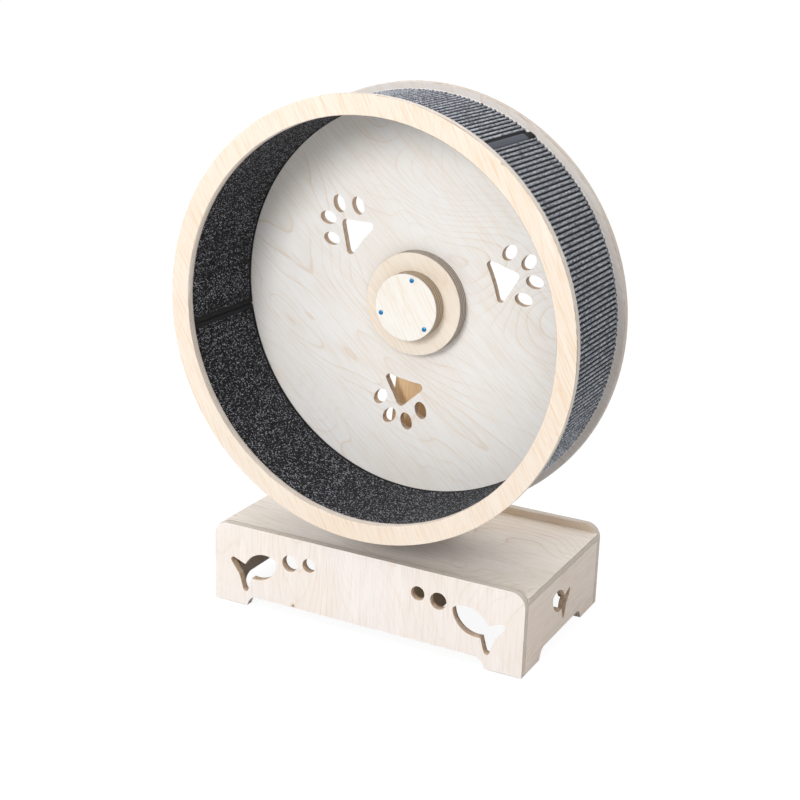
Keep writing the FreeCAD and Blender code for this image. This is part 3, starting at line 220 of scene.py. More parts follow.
def veneer(s, across, along, third, grain, face, figure, strength, strokes, knots):
    """Rotary-cut face: its colour, and the lines, fibres and pores that give it relief."""
    angle = math.radians(grain)
    u = s.plus(s.times(across, math.cos(angle)), s.times(along, math.sin(angle)))
    v = s.minus(s.times(along, math.cos(angle)), s.times(across, math.sin(angle)))

    def stretched(per_u, per_v, detail, rough=0.5, warp=0.0):
        """Noise with its own scale along the grain, u, and across it, v."""
        return s.noise(s.join(s.times(u, per_u), s.times(v, per_v), third), 1.0, detail, rough, warp)

    # Contour figure: level lines of a slow noise, a little ragged and fading here and there.
    ragged = s.times(stretched(7.0, 30.0, 3.0, 0.55), 0.5)
    level = s.plus(s.times(stretched(1.1, 3.6, 1.5, 0.45, 0.6), FIGURE_LINES), ragged)
    rings = s.math("FRACT", s.plus(level, s.times(v, FIGURE_LINES * 0.6)))
    line = s.curve(rings, (0.0, 0.0), (0.6, 0.05), (0.86, 0.25), (0.94, 1.0), (0.975, 0.7), (1.0, 0.0))
    line = s.times(line, s.fit(stretched(3.0, 9.0, 2.0), 0.36, 0.66, 0.25, 1.0))

    short = stretched(15.0, 330.0, 3.0, 0.6)
    fibres = stretched(18.0, 620.0, 4.0, 0.6)
    bands = stretched(3.0, 46.0, 3.0, 0.55)
    clouds = stretched(4.0, 6.0, 3.0)
    pores = s.fit(stretched(130.0, 1500.0, 2.0), 0.66, 0.78)

    pale = [min(255, value * 1.03 + 3) for value in face]
    warm = [value * factor for value, factor in zip(face, WARMTH)]
    colour = s.mix(s.fit(clouds, 0.35, 0.68), rgb(face), rgb(warm))
    colour = s.mix(s.times(s.fit(bands, 0.46, 0.74), 0.4), colour, rgb(pale))
    colour = s.mix(s.times(s.fit(short, 0.47, 0.68), strokes), colour, rgb(figure))
    colour = s.mix(s.times(line, strength), colour, rgb(figure))
    colour = s.mix(s.times(s.fit(fibres, 0.48, 0.72), 0.3 * (0.3 + strength)), colour, rgb(figure))
    colour = s.mix(s.times(pores, 0.22), colour, rgb(PORE))
    for knot_across, knot_along, size in knots:
        # A pin knot: a dark heart in a halo, both with a ragged outline.
        apart = s.hypotenuse(s.minus(across, knot_across), s.minus(along, knot_along))
        apart = s.plus(apart, s.times(s.minus(fibres, 0.5), size * 0.5))
        colour = s.mix(s.fit(apart, size * 0.7, size * 2.6, 0.45, 0.0), colour, rgb(KNOT_HALO))
        colour = s.mix(s.fit(apart, size * 0.3, size, 0.9, 0.0), colour, rgb(KNOT_HEART))
    return colour, line, fibres, pores


def layered_edge(s, depth, start, thick, layers, light, dark):
    """Cut edge: layers in turn along and across the grain, with glue lines between them. Returns
    its colour, and the glue and end grain that give it relief."""
    layer = s.times(s.minus(depth, start), layers / thick)
    layer = s.plus(layer, s.times(s.minus(s.noise(s.place, 60.0, 2.0), 0.5), 0.16))
    odd = s.math("PINGPONG", s.math("FLOOR", layer), 1.0)
    glue = s.fit(s.math("ABSOLUTE", s.minus(s.math("FRACT", layer), 0.5)), 0.42, 0.49)
    long_grain = s.noise(s.place, 70.0, 4.0, 0.65)
    end_grain = s.noise(s.place, 900.0, 3.0, 0.7)
    long_layer = s.mix(s.times(s.fit(long_grain, 0.4, 0.7), 0.4), rgb(light), rgb(light, 0.88))
    end_layer = s.mix(s.fit(end_grain, 0.35, 0.7), rgb(dark), rgb(dark, 0.85))
    colour = s.mix(odd, long_layer, end_layer)
    return s.mix(s.times(glue, 0.5), colour, rgb(GLUE_LINE)), glue, end_grain


def burnt_share(s, across, along, zone):
    """1 inside the zone, which is a radius about the axle or a box in the sheet's plane."""
    def between(value, low, high):
        return s.times(s.fit(value, low - BURN_FADE, low), s.fit(value, high, high + BURN_FADE, 1.0, 0.0))

    if isinstance(zone, tuple):
        return s.times(between(across, *zone[0]), between(along, *zone[1]))
    return s.fit(s.about_axle()[0], zone - BURN_FADE, zone, 1.0, 0.0)


def plywood(
    name, axis, start, thick, layers, grain, face, figure, strength, strokes, seed,
    light=(238, 230, 220), dark=(206, 192, 178), burnt=None, soiled=None, knots=(),
):
    """Birch plywood in a sheet that starts at start along axis. grain is the fibres' direction in
    degrees, strength and strokes are how strongly the figure and the short strokes show, and knots
    are places and sizes. burnt is the zone whose cut walls are browned by the cutting, and
    soiled is a radius outside which painted shade stands in for the drum's shadow on the rim."""
    s = Material(name)
    depth, across, along, facing = sheet_places(s, axis)
    edge = s.fit(facing, 0.55, 0.85, 1.0, 0.0)
    # Each board and each of its two faces shows another slice of the same noise.
    side = s.times(s.math("SIGN", s.minus(depth, start + thick / 2)), 3.0)
    colour, line, fibres, pores = veneer(
        s, across, along, s.plus(side, seed), grain, face, figure, strength, strokes, knots
    )
    cut, glue, end_grain = layered_edge(s, depth, start, thick, layers, light, dark)
    if burnt is not None:
        patches = s.fit(s.noise(s.place, 140.0, 3.0), 0.35, 0.65)
        scorch = s.mix(patches, rgb(SCORCH_LIGHT), rgb(SCORCH_DARK))
        cut = s.mix(s.times(burnt_share(s, across, along, burnt), 0.6), cut, scorch)
    # Painted shade: outside the radius, the front face and the front half of the edge turn brown-grey,
    # standing in for the drum's shadow on the disc's rim.
    if soiled is not None:
        outside = s.fit(s.about_axle()[0], soiled - 1 * MM, soiled + 1 * MM)
        front = s.fit(depth, start, start + thick / 2, 0.32, 0.0)
        colour = s.mix(s.times(outside, front), colour, rgb(RIM_SHADE_TONE))
    # A thin brown line where the edge meets a face, stronger in places.
    to_face = s.math("MINIMUM", s.minus(depth, start), s.minus(start + thick, depth))
    patchy = s.fit(s.noise(s.place, 28.0, 3.0), 0.35, 0.65, 0.25, 0.8)
    cut = s.mix(s.times(s.fit(to_face, 0.5 * MM, 1.6 * MM, 1.0, 0.0), patchy), cut, rgb(ARRIS_LINE))
    colour = s.mix(edge, colour, cut)

    rough = s.plus(s.plus(0.46, s.times(fibres, 0.16)), s.times(edge, 0.2))
    face_relief = s.plus(s.times(fibres, 0.6), s.times(line, -0.25))
    face_relief = s.minus(face_relief, s.times(pores, 0.8))
    edge_relief = s.plus(s.times(end_grain, 1.2), s.times(glue, -1.0))
    relief = s.mix(edge, face_relief, edge_relief)
    return s.finish(colour, rough, s.bump(relief, 0.22 * MM, 0.55), Specular_IOR_Level=0.35)


# ---------------------------------------------------------------- other materials

def metal(name, colour, rough):
    """Plated or turned metal: fine scratches and a little uneven sheen."""
    s = Material(name)
    fine = s.noise(s.vector("MULTIPLY", s.place, (1.0, 0.12, 1.0)), 900.0, 3.0, 0.6)
    spots = s.noise(s.place, 240.0, 3.0)
    tint = s.mix(s.fit(spots, 0.4, 0.7), rgb(colour), rgb(colour, 0.86))
    roughness = s.fit(fine, 0.3, 0.7, rough * 0.8, rough * 1.25)
    return s.finish(tint, roughness, s.bump(fine, 0.05 * MM, 0.3), Metallic=1.0)


def painted_metal(name, colour):
    """Anodised or painted screw: saturated, glossy, with small scuffs to bare metal."""
    s = Material(name)
    scuffs = s.fit(s.noise(s.place, 1400.0, 4.0, 0.7), 0.6, 0.72)
    tint = s.mix(s.times(scuffs, 0.5), rgb(colour), rgb((190, 215, 230)))
    return s.finish(tint, s.fit(scuffs, 0.0, 1.0, 0.26, 0.42), s.bump(scuffs, 0.04 * MM, 0.4), Metallic=0.55)


def rubber(name):
    """Dull dark rubber with a fine grit."""
    s = Material(name)
    grit = s.noise(s.place, 1100.0, 3.0, 0.6)
    tint = s.mix(s.fit(grit, 0.4, 0.7), rgb((38, 38, 40)), rgb((56, 56, 58)))
    return s.finish(tint, s.fit(grit, 0.3, 0.7, 0.72, 0.9), s.bump(grit, 0.1 * MM, 0.6))


def beech(name):
    """Beech blocks and dowels: short dark ray flecks on warm pale wood."""
    s = Material(name)
    stretched = s.vector("MULTIPLY", s.place, (60.0, 60.0, 420.0))
    flecks = s.fit(s.noise(stretched, 1.0, 2.0), 0.6, 0.72)
    bands = s.noise(s.vector("MULTIPLY", s.place, (14.0, 14.0, 90.0)), 1.0, 3.0)
    tint = s.mix(s.fit(bands, 0.35, 0.7), rgb((214, 178, 138)), rgb((192, 150, 108)))
    tint = s.mix(s.times(flecks, 0.5), tint, rgb((142, 98, 64)))
    return s.finish(tint, s.fit(bands, 0.3, 0.7, 0.5, 0.64), s.bump(flecks, 0.1 * MM, -0.4))


def pile(name, base, fleck):
    """Short needled pile: near-black felt with scattered grey tufts, some curled."""
    s = Material(name)
    swirl = s.add("ShaderNodeTexNoise", {"Vector": s.place, "Scale": 300.0}).outputs["Color"]
    bent = s.vector("ADD", s.place, s.vector("MULTIPLY", swirl, (3 * MM,) * 3))
    stretched = s.vector("MULTIPLY", bent, (1.0, 0.55, 1.0))
    cells = s.add("ShaderNodeTexVoronoi", {"Vector": stretched, "Scale": 420.0}).outputs
    tuft = s.fit(cells["Distance"], 0.12, 0.6, 1.0, 0.0)
    chance = s.split(cells["Color"])[0]
    clumps = s.noise(s.place, 330.0, 2.0, 0.6)
    fuzz = s.noise(s.place, 1500.0, 2.0, 0.7)
    patches = s.noise(s.place, 24.0, 3.0)
    light = s.times(s.fit(chance, 0.25, 1.0), tuft)
    light = s.times(light, s.fit(patches, 0.3, 0.7, 0.85, 1.05))
    colour = s.mix(s.fit(fuzz, 0.35, 0.7), rgb(base, 0.45), rgb(base))
    colour = s.mix(light, colour, rgb(fleck))
    height = s.plus(s.plus(s.times(tuft, 0.8), clumps), s.times(fuzz, 0.35))
    return s.finish(
        colour, s.fit(fuzz, 0.3, 0.7, 0.86, 0.98), s.bump(height, 2 * MM, 1.0),
        Specular_IOR_Level=0.12, Sheen_Weight=0.08, Sheen_Roughness=0.5,
    )


def thread(name):
    """Overlocked edge: tight black stitches side by side round the mat. They follow each other
    along the arc on the sides and along Y at the ends."""
    stitch_pitch = 1.3 * MM
    s = Material(name)
    y = s.split(s.place)[1]
    lay = s.plus(s.times(s.about_axle()[1], DRUM_INSIDE), y)
    stitch = s.math("PINGPONG", s.times(lay, 1 / stitch_pitch), 0.5)
    fuzz = s.noise(s.place, 1700.0, 3.0, 0.6)
    colour = s.mix(s.fit(stitch, 0.08, 0.4), rgb((7, 7, 9)), rgb((22, 23, 27)))
    colour = s.mix(s.times(s.fit(fuzz, 0.58, 0.76), 0.4), colour, rgb((50, 52, 58)))
    height = s.plus(stitch, s.times(fuzz, 0.5))
    return s.finish(
        colour, s.fit(fuzz, 0.3, 0.7, 0.62, 0.8), s.bump(height, 0.5 * MM, 0.7), Specular_IOR_Level=0.3
    )


# The outer carpet's ribs: loops follow each other along a rib, and shift from one rib to the next.
LOOP_PITCH, LOOP_SHIFT = 6.4 * MM, 0.37
RIB_FOOT, RIB_HEIGHT, RIB_LIMIT = 0.3856, 3.7 * MM, 3.9 * MM
CREST_LOW, CREST_HIGH = 0.3869, 0.3889  # radii between which the near-black painted shade of the grooves turns into yarn
CREST_TOP = 0.3895


def ribbed(name):
    """Looped rib carpet: light crests of twisted yarn, with painted shade making the grooves between the ribs
    near black.
    """
    s = Material(name)
    y = s.split(s.place)[1]
    radius, angle = s.about_axle()
    turn = s.times(angle, 1 / RIB_ANGLE)
    crest = s.fit(radius, CREST_LOW, CREST_HIGH)
    shifted = s.plus(s.times(y, 1 / LOOP_PITCH), s.times(s.math("FLOOR", turn), LOOP_SHIFT))
    loops = s.math("PINGPONG", shifted, 0.5)
    twist = s.join(s.times(turn, 4.0), s.times(y, 170.0), s.times(radius, 300.0))
    yarn = s.noise(twist, 1.0, 3.0, 0.65)
    fuzz = s.noise(s.place, 900.0, 3.0, 0.7)
    lots = s.noise(s.join(turn, s.times(y, 26.0), 0.0), 0.9, 2.0)
    tone = s.mix(s.fit(yarn, 0.42, 0.58), rgb((84, 91, 106)), rgb((240, 245, 255)))
    tone = s.mix(s.times(s.fit(lots, 0.4, 0.7), 0.25), tone, rgb((124, 130, 144)))
    tone = s.mix(s.times(s.fit(fuzz, 0.52, 0.64), 0.7), tone, rgb((250, 252, 255)))
    # Painted shade in the dips between one loop and the next along a rib.
    tone = s.mix(s.times(s.fit(loops, 0.04, 0.24, 1.0, 0.0), 0.8), tone, rgb((40, 43, 50)))
    # The grooves' ground: near-black painted shade, with lighter stray fibres.
    groove_shade = s.mix(s.fit(fuzz, 0.54, 0.68), rgb((7, 8, 10)), rgb((88, 92, 102)))
    colour = s.mix(crest, groove_shade, tone)
    # Painted shade darkens both ends of the ribs, where they meet the ring and the disc.
    back_corner_shade = s.fit(y, DISC_FRONT - 4.5 * MM, DISC_FRONT - 1.5 * MM)
    front_corner_shade = s.fit(y, RING_BACK + 1.5 * MM, RING_BACK + 3.5 * MM, 1.0, 0.0)
    colour = s.mix(s.times(s.plus(back_corner_shade, front_corner_shade), 0.8), colour, rgb((18, 19, 22)))
    height = s.plus(yarn, s.times(fuzz, 0.7))
    height = s.plus(height, s.times(s.fit(loops, 0.0, 0.25), 0.6))
    return s.finish(
        colour, s.fit(fuzz, 0.3, 0.7, 0.8, 0.94), s.bump(height, 1.2 * MM, 0.9),
        Specular_IOR_Level=0.2, Sheen_Weight=0.1,
    )


def webbing(name):
    """Smooth woven tape over the carpet's seam, black at its end by the disc."""
    s = Material(name)
    y = s.split(s.place)[1]
    weave = s.noise(s.vector("MULTIPLY", s.place, (700.0, 1500.0, 700.0)), 1.0, 3.0)
    colour = s.mix(s.fit(weave, 0.35, 0.7), rgb((66, 70, 78)), rgb((98, 102, 112)))
    colour = s.mix(s.fit(y, -12 * MM, -4 * MM), colour, rgb((16, 17, 20)))
    return s.finish(
        colour, s.fit(weave, 0.3, 0.7, 0.66, 0.82), s.bump(weave, 0.4 * MM, 0.7), Specular_IOR_Level=0.25
    )


MAT_PILE = pile("charcoal_pile", (17, 18, 22), (232, 236, 248))
THREAD = thread("overlock_thread")
RIBBED = ribbed("rib_loops")
WEBBING = webbing("seam_webbing")
BLUE = painted_metal("blue_screw", (30, 132, 192))
STEEL = metal("zinc_steel", (196, 198, 200), 0.3)
BLACKENED = metal("cast_housing", (88, 90, 94), 0.42)
BRASS = metal("cage_brass", (206, 170, 96), 0.28)
RUBBER = rubber("pad_rubber")
BEECH = beech("beech_block")


# ---------------------------------------------------------------- meshes

def new_piece(name, body, points, faces, material):
    mesh = bpy.data.meshes.new(name)
    mesh.from_pydata(points, [], faces)
    mesh.validate()
    work = bmesh.new()
    work.from_mesh(mesh)
    bmesh.ops.recalc_face_normals(work, faces=work.faces)
    work.to_mesh(mesh)
    work.free()
    mesh.polygons.foreach_set("use_smooth", [True] * len(mesh.polygons))
    piece = bpy.data.objects.new(name, mesh)
    bpy.context.scene.collection.objects.link(piece)
    mesh.materials.append(material)
    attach(piece, body)
    return piece


def on_drum(angle, radius, y):
    return (radius * math.cos(angle), y, AXLE_Z + radius * math.sin(angle))


def shell_of(top, bottom, rows, columns):
    """Faces of a closed sheet between two grids, rows by columns, and its four sides."""
    faces = []
    for i in range(rows - 1):
        for j in range(columns - 1):
            faces.append((top(i, j), top(i + 1, j), top(i + 1, j + 1), top(i, j + 1)))
            faces.append((bottom(i, j), bottom(i, j + 1), bottom(i + 1, j + 1), bottom(i + 1, j)))
        faces.append((top(i, 0), bottom(i, 0), bottom(i + 1, 0), top(i + 1, 0)))
        j = columns - 1
        faces.append((top(i, j), top(i + 1, j), bottom(i + 1, j), bottom(i, j)))
    for j in range(columns - 1):
        faces.append((top(0, j), top(0, j + 1), bottom(0, j + 1), bottom(0, j)))
        i = rows - 1
        faces.append((top(i, j), bottom(i, j), bottom(i, j + 1), top(i, j + 1)))
    return faces


# ---------------------------------------------------------------- inner mats

MAT_GAP = 0.4 * MM
MAT_LENGTH = math.pi * MAT_FACE - MAT_GAP
MAT_CORNER, PILE_CORNER = 4 * MM, 13 * MM
SIDE_BINDING, END_BINDING = 6.2 * MM, 9.8 * MM
UNDER_PILE = 0.9 * MM           # the binding's inner side is under the pile
GLUE = 0.1 * MM
PILE_STEP, PILE_COLUMNS, CORNER_ROWS = 3 * MM, 70, 10
RIM_HEIGHT, RIM_ROUND = 3 * MM, 1.3 * MM
PILE_RISE = MAT_THICK - 3.55 * MM
# The binding's section: share of its width from the outside in, and height.
ROLL = ((0.0, 0.2 * MM), (0.0, 2.2 * MM), (0.06, 3.4 * MM), (0.2, 4.1 * MM), (0.42, 4.4 * MM),
        (0.66, 4.1 * MM), (0.86, 3.1 * MM), (1.0, 2.4 * MM), (1.0, 0.2 * MM))


def mat_place(start_angle, along, y, height):
    """Where a point of the flat mat is on the drum."""
    first = start_angle + MAT_GAP / 2 / (DRUM_INSIDE - MAT_THICK / 2)
    return on_drum(first + along / MAT_FACE, DRUM_INSIDE - GLUE - height, y)


def pile_rows(first, last):
    """The pile's rows run across. They are closer at the ends, to round the corners."""
    corner = [PILE_CORNER * (1 - math.cos(math.pi / 2 * k / CORNER_ROWS)) for k in range(CORNER_ROWS + 1)]
    middle = last - first - 2 * PILE_CORNER
    count = round(middle / PILE_STEP)
    straight = [first + PILE_CORNER + middle * k / count for k in range(1, count)]
    return [first + inset for inset in corner] + straight + [last - inset for inset in reversed(corner)]


def pile_height(along, y, inset, seed):
    """Height of the felt at a point this far in from its outline."""
    round_over = 1 - math.exp(-inset / RIM_ROUND)
    tufts = noise.noise(Vector((along * 340, y * 340, seed))) * 0.32 * MM
    lumps = noise.noise(Vector((along * 60, y * 60, seed + 9))) * 0.2 * MM
    return RIM_HEIGHT + (PILE_RISE + tufts + lumps) * round_over


def mat_pile(name, start_angle):
    """A mat's felt: a closed sheet with rounded corners and a displaced top."""
    first, last = END_BINDING, MAT_LENGTH - END_BINDING
    rows = pile_rows(first, last)
    centre = (MAT_LOW_Y + MAT_HIGH_Y) / 2
    points = []
    for top in (True, False):
        for along in rows:
            to_end = min(along - first, last - along)
            half = (MAT_HIGH_Y - MAT_LOW_Y) / 2 - SIDE_BINDING
            if to_end < PILE_CORNER:
                half -= PILE_CORNER - math.sqrt(max(0.0, PILE_CORNER ** 2 - (PILE_CORNER - to_end) ** 2))
            for column in range(PILE_COLUMNS):
                y = centre + half * (2 * column / (PILE_COLUMNS - 1) - 1)
                inset = min(to_end, half - abs(y - centre))
                height = pile_height(along, y, inset, start_angle) if top else 0.0
                points.append(mat_place(start_angle, along, y, height))
    below = len(points) // 2
    faces = shell_of(
        lambda i, j: i * PILE_COLUMNS + j, lambda i, j: below + i * PILE_COLUMNS + j, len(rows), PILE_COLUMNS
    )
    return new_piece(name, "wheel", points, faces, MAT_PILE)


def mat_outline(inset_side, inset_end, corner, per_corner=10, per_long=360, per_short=60):
    """Rounded rectangle inside the flat mat's outline: points in order, as (along, y)."""
    x0, x1 = inset_end, MAT_LENGTH - inset_end
    y0, y1 = MAT_LOW_Y + inset_side, MAT_HIGH_Y - inset_side
    path = []

    def straight(a, b, steps):
        for k in range(steps):
            path.append((a[0] + (b[0] - a[0]) * k / steps, a[1] + (b[1] - a[1]) * k / steps))

    def turn(x, y, from_degrees):
        for k in range(per_corner):
            angle = math.radians(from_degrees + 90 * k / per_corner)
            path.append((x + corner * math.cos(angle), y + corner * math.sin(angle)))

    straight((x0 + corner, y0), (x1 - corner, y0), per_long)
    turn(x1 - corner, y0 + corner, -90)
    straight((x1, y0 + corner), (x1, y1 - corner), per_short)
    turn(x1 - corner, y1 - corner, 0)
    straight((x1 - corner, y1), (x0 + corner, y1), per_long)
    turn(x0 + corner, y1 - corner, 90)
    straight((x0, y1 - corner), (x0, y0 + corner), per_short)
    turn(x0 + corner, y0 + corner, 180)
    return path


def mat_binding(name, start_angle):
    """A rolled band between the mat's outline and the pile, all the way round."""
    outer = mat_outline(0.0, 0.0, MAT_CORNER)
    inner = mat_outline(SIDE_BINDING + UNDER_PILE, END_BINDING + UNDER_PILE, PILE_CORNER)
    points = [
        mat_place(start_angle, a[0] + (b[0] - a[0]) * share, a[1] + (b[1] - a[1]) * share, height)
        for a, b in zip(outer, inner) for share, height in ROLL
    ]
    around, sides = len(outer), len(ROLL)
    faces = []
    for i in range(around):
        here, ahead = i * sides, (i + 1) % around * sides
        for j in range(sides):
            side = (j + 1) % sides
            faces.append((here + j, ahead + j, ahead + side, here + side))
    return new_piece(name, "wheel", points, faces, THREAD)


def inner_mat(name, node, start_angle):
    """One bound mat: a pile of displaced felt inside a rolled black binding."""
    mat = mat_pile(name, start_angle)
    binding = mat_binding(name + "_binding", start_angle)
    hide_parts(node)


# ---------------------------------------------------------------- outer carpet and its seam

CARPET_LOW, CARPET_HIGH = RING_BACK + 0.2 * MM, DISC_FRONT - 0.2 * MM
CARPET_COLUMNS = 84
SEAM_HALF = STRIP_WIDTH / 2 / CREST_TOP     # radians
SEAM_TUCK = 0.0006              # radians that the carpet's ends reach under the tape
CARPET_START = STRIP_ANGLE + SEAM_HALF - SEAM_TUCK
CARPET_END = STRIP_ANGLE + 2 * math.pi - SEAM_HALF + SEAM_TUCK
# A rib's section: share of the pitch, and share of the height.
RIB = ((0.0, 0.0), (0.10, 0.25), (0.22, 0.70), (0.36, 0.95), (0.5, 1.0), (0.64, 0.95), (0.78, 0.70),
       (0.90, 0.25))
# Half of the tape's section, from its foot to its middle: share of the half width, and radius.
TAPE = ((1.0, 0.3828), (1.0, 0.3862), (0.94, 0.3886), (0.8, 0.3900), (0.55, 0.3906), (0.2, 0.39075))
TAPE_FOOT, TAPE_LIMIT, TAPE_ROWS = 0.386, 0.3908, 60


def rib_stations():
    """Angles and heights of the ribs' points, from one side of the seam round to the other."""
    stations = [(CARPET_START, 0.1)]
    for number in range(math.ceil(CARPET_START / RIB_ANGLE), int(CARPET_END / RIB_ANGLE) + 1):
        for share, height in RIB:
            angle = (number + share) * RIB_ANGLE
            if CARPET_START < angle < CARPET_END:
                stations.append((angle, height))
    return stations + [(CARPET_END, 0.1)]


def loop_height(angle, y):
    """Height of a crest: a bead for each loop, and small tufts."""
    loop = y / LOOP_PITCH + LOOP_SHIFT * math.floor(angle / RIB_ANGLE)
    bead = 0.5 + 0.5 * math.cos(2 * math.pi * loop)
    tuft = noise.noise(Vector((angle * 300, y * 500, 4.0)))
    return RIB_HEIGHT + 1.0 * MM * (bead - 1) + 0.4 * MM * tuft


def outer_carpet(tape):
    """The ribbed carpet: ribs all round but for the seam, each with a rounded crest of loops."""
    stations = rib_stations()
    points = []
    for angle, share in stations:
        for column in range(CARPET_COLUMNS):
            y = CARPET_LOW + (CARPET_HIGH - CARPET_LOW) * column / (CARPET_COLUMNS - 1)
            points.append(on_drum(angle, RIB_FOOT + min(share * loop_height(angle, y), RIB_LIMIT), y))
    back = len(points)
    for angle, _ in stations:
        for y in (CARPET_LOW, CARPET_HIGH):
            points.append(on_drum(angle, DRUM_OUTSIDE + GLUE, y))
    faces = []
    last = CARPET_COLUMNS - 1
    for i in range(len(stations) - 1):
        here, ahead = i * CARPET_COLUMNS, (i + 1) * CARPET_COLUMNS
        for j in range(last):
            faces.append((here + j, ahead + j, ahead + j + 1, here + j + 1))
        a, b = back + 2 * i, back + 2 * (i + 1)
        faces.append((a, a + 1, b + 1, b))
        faces.append((here, a, b, ahead))
        faces.append((here + last, ahead + last, b + 1, a + 1))
    for i in (0, len(stations) - 1):
        crest = range(i * CARPET_COLUMNS, (i + 1) * CARPET_COLUMNS)
        faces.append((*crest, back + 2 * i + 1, back + 2 * i))
    carpet = new_piece("ribbed_carpet_cover", "wheel", points, faces, RIBBED)
    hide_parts("outer_carpet")


def seam_strip():
    """Tape pressed flat over the carpet's ends, with soft rolled sides."""
    section = [(-share, radius) for share, radius in TAPE] + list(reversed(TAPE))
    sides = len(section)
    points = []
    for row in range(TAPE_ROWS):
        y = CARPET_LOW + (CARPET_HIGH - CARPET_LOW) * row / (TAPE_ROWS - 1)
        for share, radius in section:
            if radius > TAPE_FOOT:
                radius += 0.12 * MM * noise.noise(Vector((share * 3, y * 60, 2.0)))
            points.append(on_drum(STRIP_ANGLE + share * SEAM_HALF, min(radius, TAPE_LIMIT), y))
    faces = []
    for i in range(TAPE_ROWS - 1):
        for j in range(sides):
            here, ahead, side = i * sides, (i + 1) * sides, (j + 1) % sides
            faces.append((here + j, ahead + j, ahead + side, here + side))
    faces += [tuple(range(sides)), tuple((TAPE_ROWS - 1) * sides + j for j in range(sides))]
    strip = new_piece("carpet_seam_tape", "wheel", points, faces, WEBBING)
    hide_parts("carpet_seam_strip")
    return strip


# ---------------------------------------------------------------- screws on the hub cap

SCREW_DEGREES, SCREW_CIRCLE = (78, 198, 318), 0.053
HEAD_RADIUS, HEAD_DOME = 4.3 * MM, 2.6 * MM
HEAD_RINGS, HEAD_SIDES = 22, 64
RECESS_DEPTH, RECESS_END = 1.1 * MM, 2.3 * MM


def ramp(value, low, width):
    """0 up to low, then rising to 1 over the width."""
    return min(1.0, max(0.0, (value - low) / width))


def head_height(radius, turn):
    """Height of a pan head, less its cross recess, at a radius and an angle from one arm."""
    share = radius / HEAD_RADIUS
    height = HEAD_DOME * (0.42 + 0.58 * math.sqrt(max(0.0, 1 - share ** 2.6)))
    if radius < RECESS_END:
        from_arm = min(abs(radius * math.cos(turn)), abs(radius * math.sin(turn)))
        arm = 1 - ramp(from_arm, 0.38 * MM, 0.16 * MM)
        height -= RECESS_DEPTH * arm * (1 - ramp(radius, 1.9 * MM, 0.4 * MM))
    return height


def cap_screws():
    """Three pan heads with a cross recess on the hub cap, in one piece."""
    points, faces = [], []
    for degrees in SCREW_DEGREES:
        centre_x, _, centre_z = on_drum(math.radians(degrees), SCREW_CIRCLE, 0.0)
        twist = math.radians(degrees * 1.7)
        base = len(points)
        for ring in range(1, HEAD_RINGS + 1):
            radius = HEAD_RADIUS * ring / HEAD_RINGS
            for k in range(HEAD_SIDES):
                turn = 2 * math.pi * k / HEAD_SIDES
                height = head_height(radius, turn + twist) if ring < HEAD_RINGS else 0.0
                points.append((centre_x + radius * math.cos(turn), HUB_CAP_FRONT - height,
                               centre_z + radius * math.sin(turn)))
        centre = len(points)
        points.append((centre_x, HUB_CAP_FRONT - HEAD_DOME + RECESS_DEPTH, centre_z))
        for k in range(HEAD_SIDES):
            n = (k + 1) % HEAD_SIDES
            faces.append((centre, base + k, base + n))
            for ring in range(HEAD_RINGS - 1):
                a = base + ring * HEAD_SIDES
                faces.append((a + k, a + HEAD_SIDES + k, a + HEAD_SIDES + n, a + n))
        faces.append(tuple(base + (HEAD_RINGS - 1) * HEAD_SIDES + k for k in range(HEAD_SIDES)))
    heads = new_piece("hub_cap_screw_heads", "wheel", points, faces, BLUE)
    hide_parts("hub_cap_screws")


inner_mat("upper_mat", "upper_inner_mat", SEAM_ANGLE)
inner_mat("lower_mat", "lower_inner_mat", SEAM_ANGLE + math.pi)
outer_carpet(seam_strip())
cap_screws()


# ---------------------------------------------------------------- materials on the nodes

def dress(name, material, bevel=0.5 * MM):
    """Give a CAD node its material and eased edges."""
    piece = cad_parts[name]
    piece.data.materials.clear()
    piece.data.materials.append(material)
    for polygon in piece.data.polygons:
        polygon.material_index = 0
    if bevel:
        weld = piece.modifiers.new("weld", "WELD")
        weld.merge_threshold = 0.01 * MM
        ease = piece.modifiers.new("ease", "BEVEL")
        ease.width = bevel
        ease.segments = 2
        ease.limit_method = "ANGLE"
        ease.angle_limit = math.radians(40)
        ease.harden_normals = True
        ease.use_clamp_overlap = True


def board(name, axis, layers=7, **look):
    """Dress a flat board as plywood that starts and ends where its node does along axis."""
    low, high = extent(name, axis)
    dress(name, plywood(name + "_ply", axis, low, high - low, layers, **look))


TAN = (206, 178, 142)

board("front_ring", "Y", grain=-62, face=(234, 222, 208), figure=(218, 180, 138), strength=0.3, strokes=0.42,
      seed=1.0, light=(246, 238, 228), dark=(226, 214, 202), knots=((0.2514, 0.9141, 0.0022),))
# The disc's rim outside 0.39 m carries painted shade for the drum's shadow.
board("back_disc", "Y", grain=-42, face=(250, 248, 246), figure=(224, 198, 166), strength=0.44, strokes=0.2,
      seed=5.3, burnt=0.3, soiled=0.39)
board("hub_plate", "Y", layers=8, grain=-52, face=(248, 237, 223), figure=(222, 190, 154), strength=0.34,
      strokes=0.26, seed=9.1, light=(226, 218, 208), dark=(176, 158, 142))
board("hub_cap", "Y", layers=8, grain=-60, face=(250, 247, 241), figure=(226, 200, 162), strength=0.4,
      strokes=0.34, seed=12.4, light=(230, 216, 196), dark=(196, 172, 146))
board("front_panel", "Y", grain=90, face=(240, 234, 230), figure=(214, 188, 162), strength=0.3, strokes=0.24,
      seed=17.0, burnt=((-0.29, 0.29), (0.028, 0.14)), knots=((-0.149, 0.0258, 0.0032),))
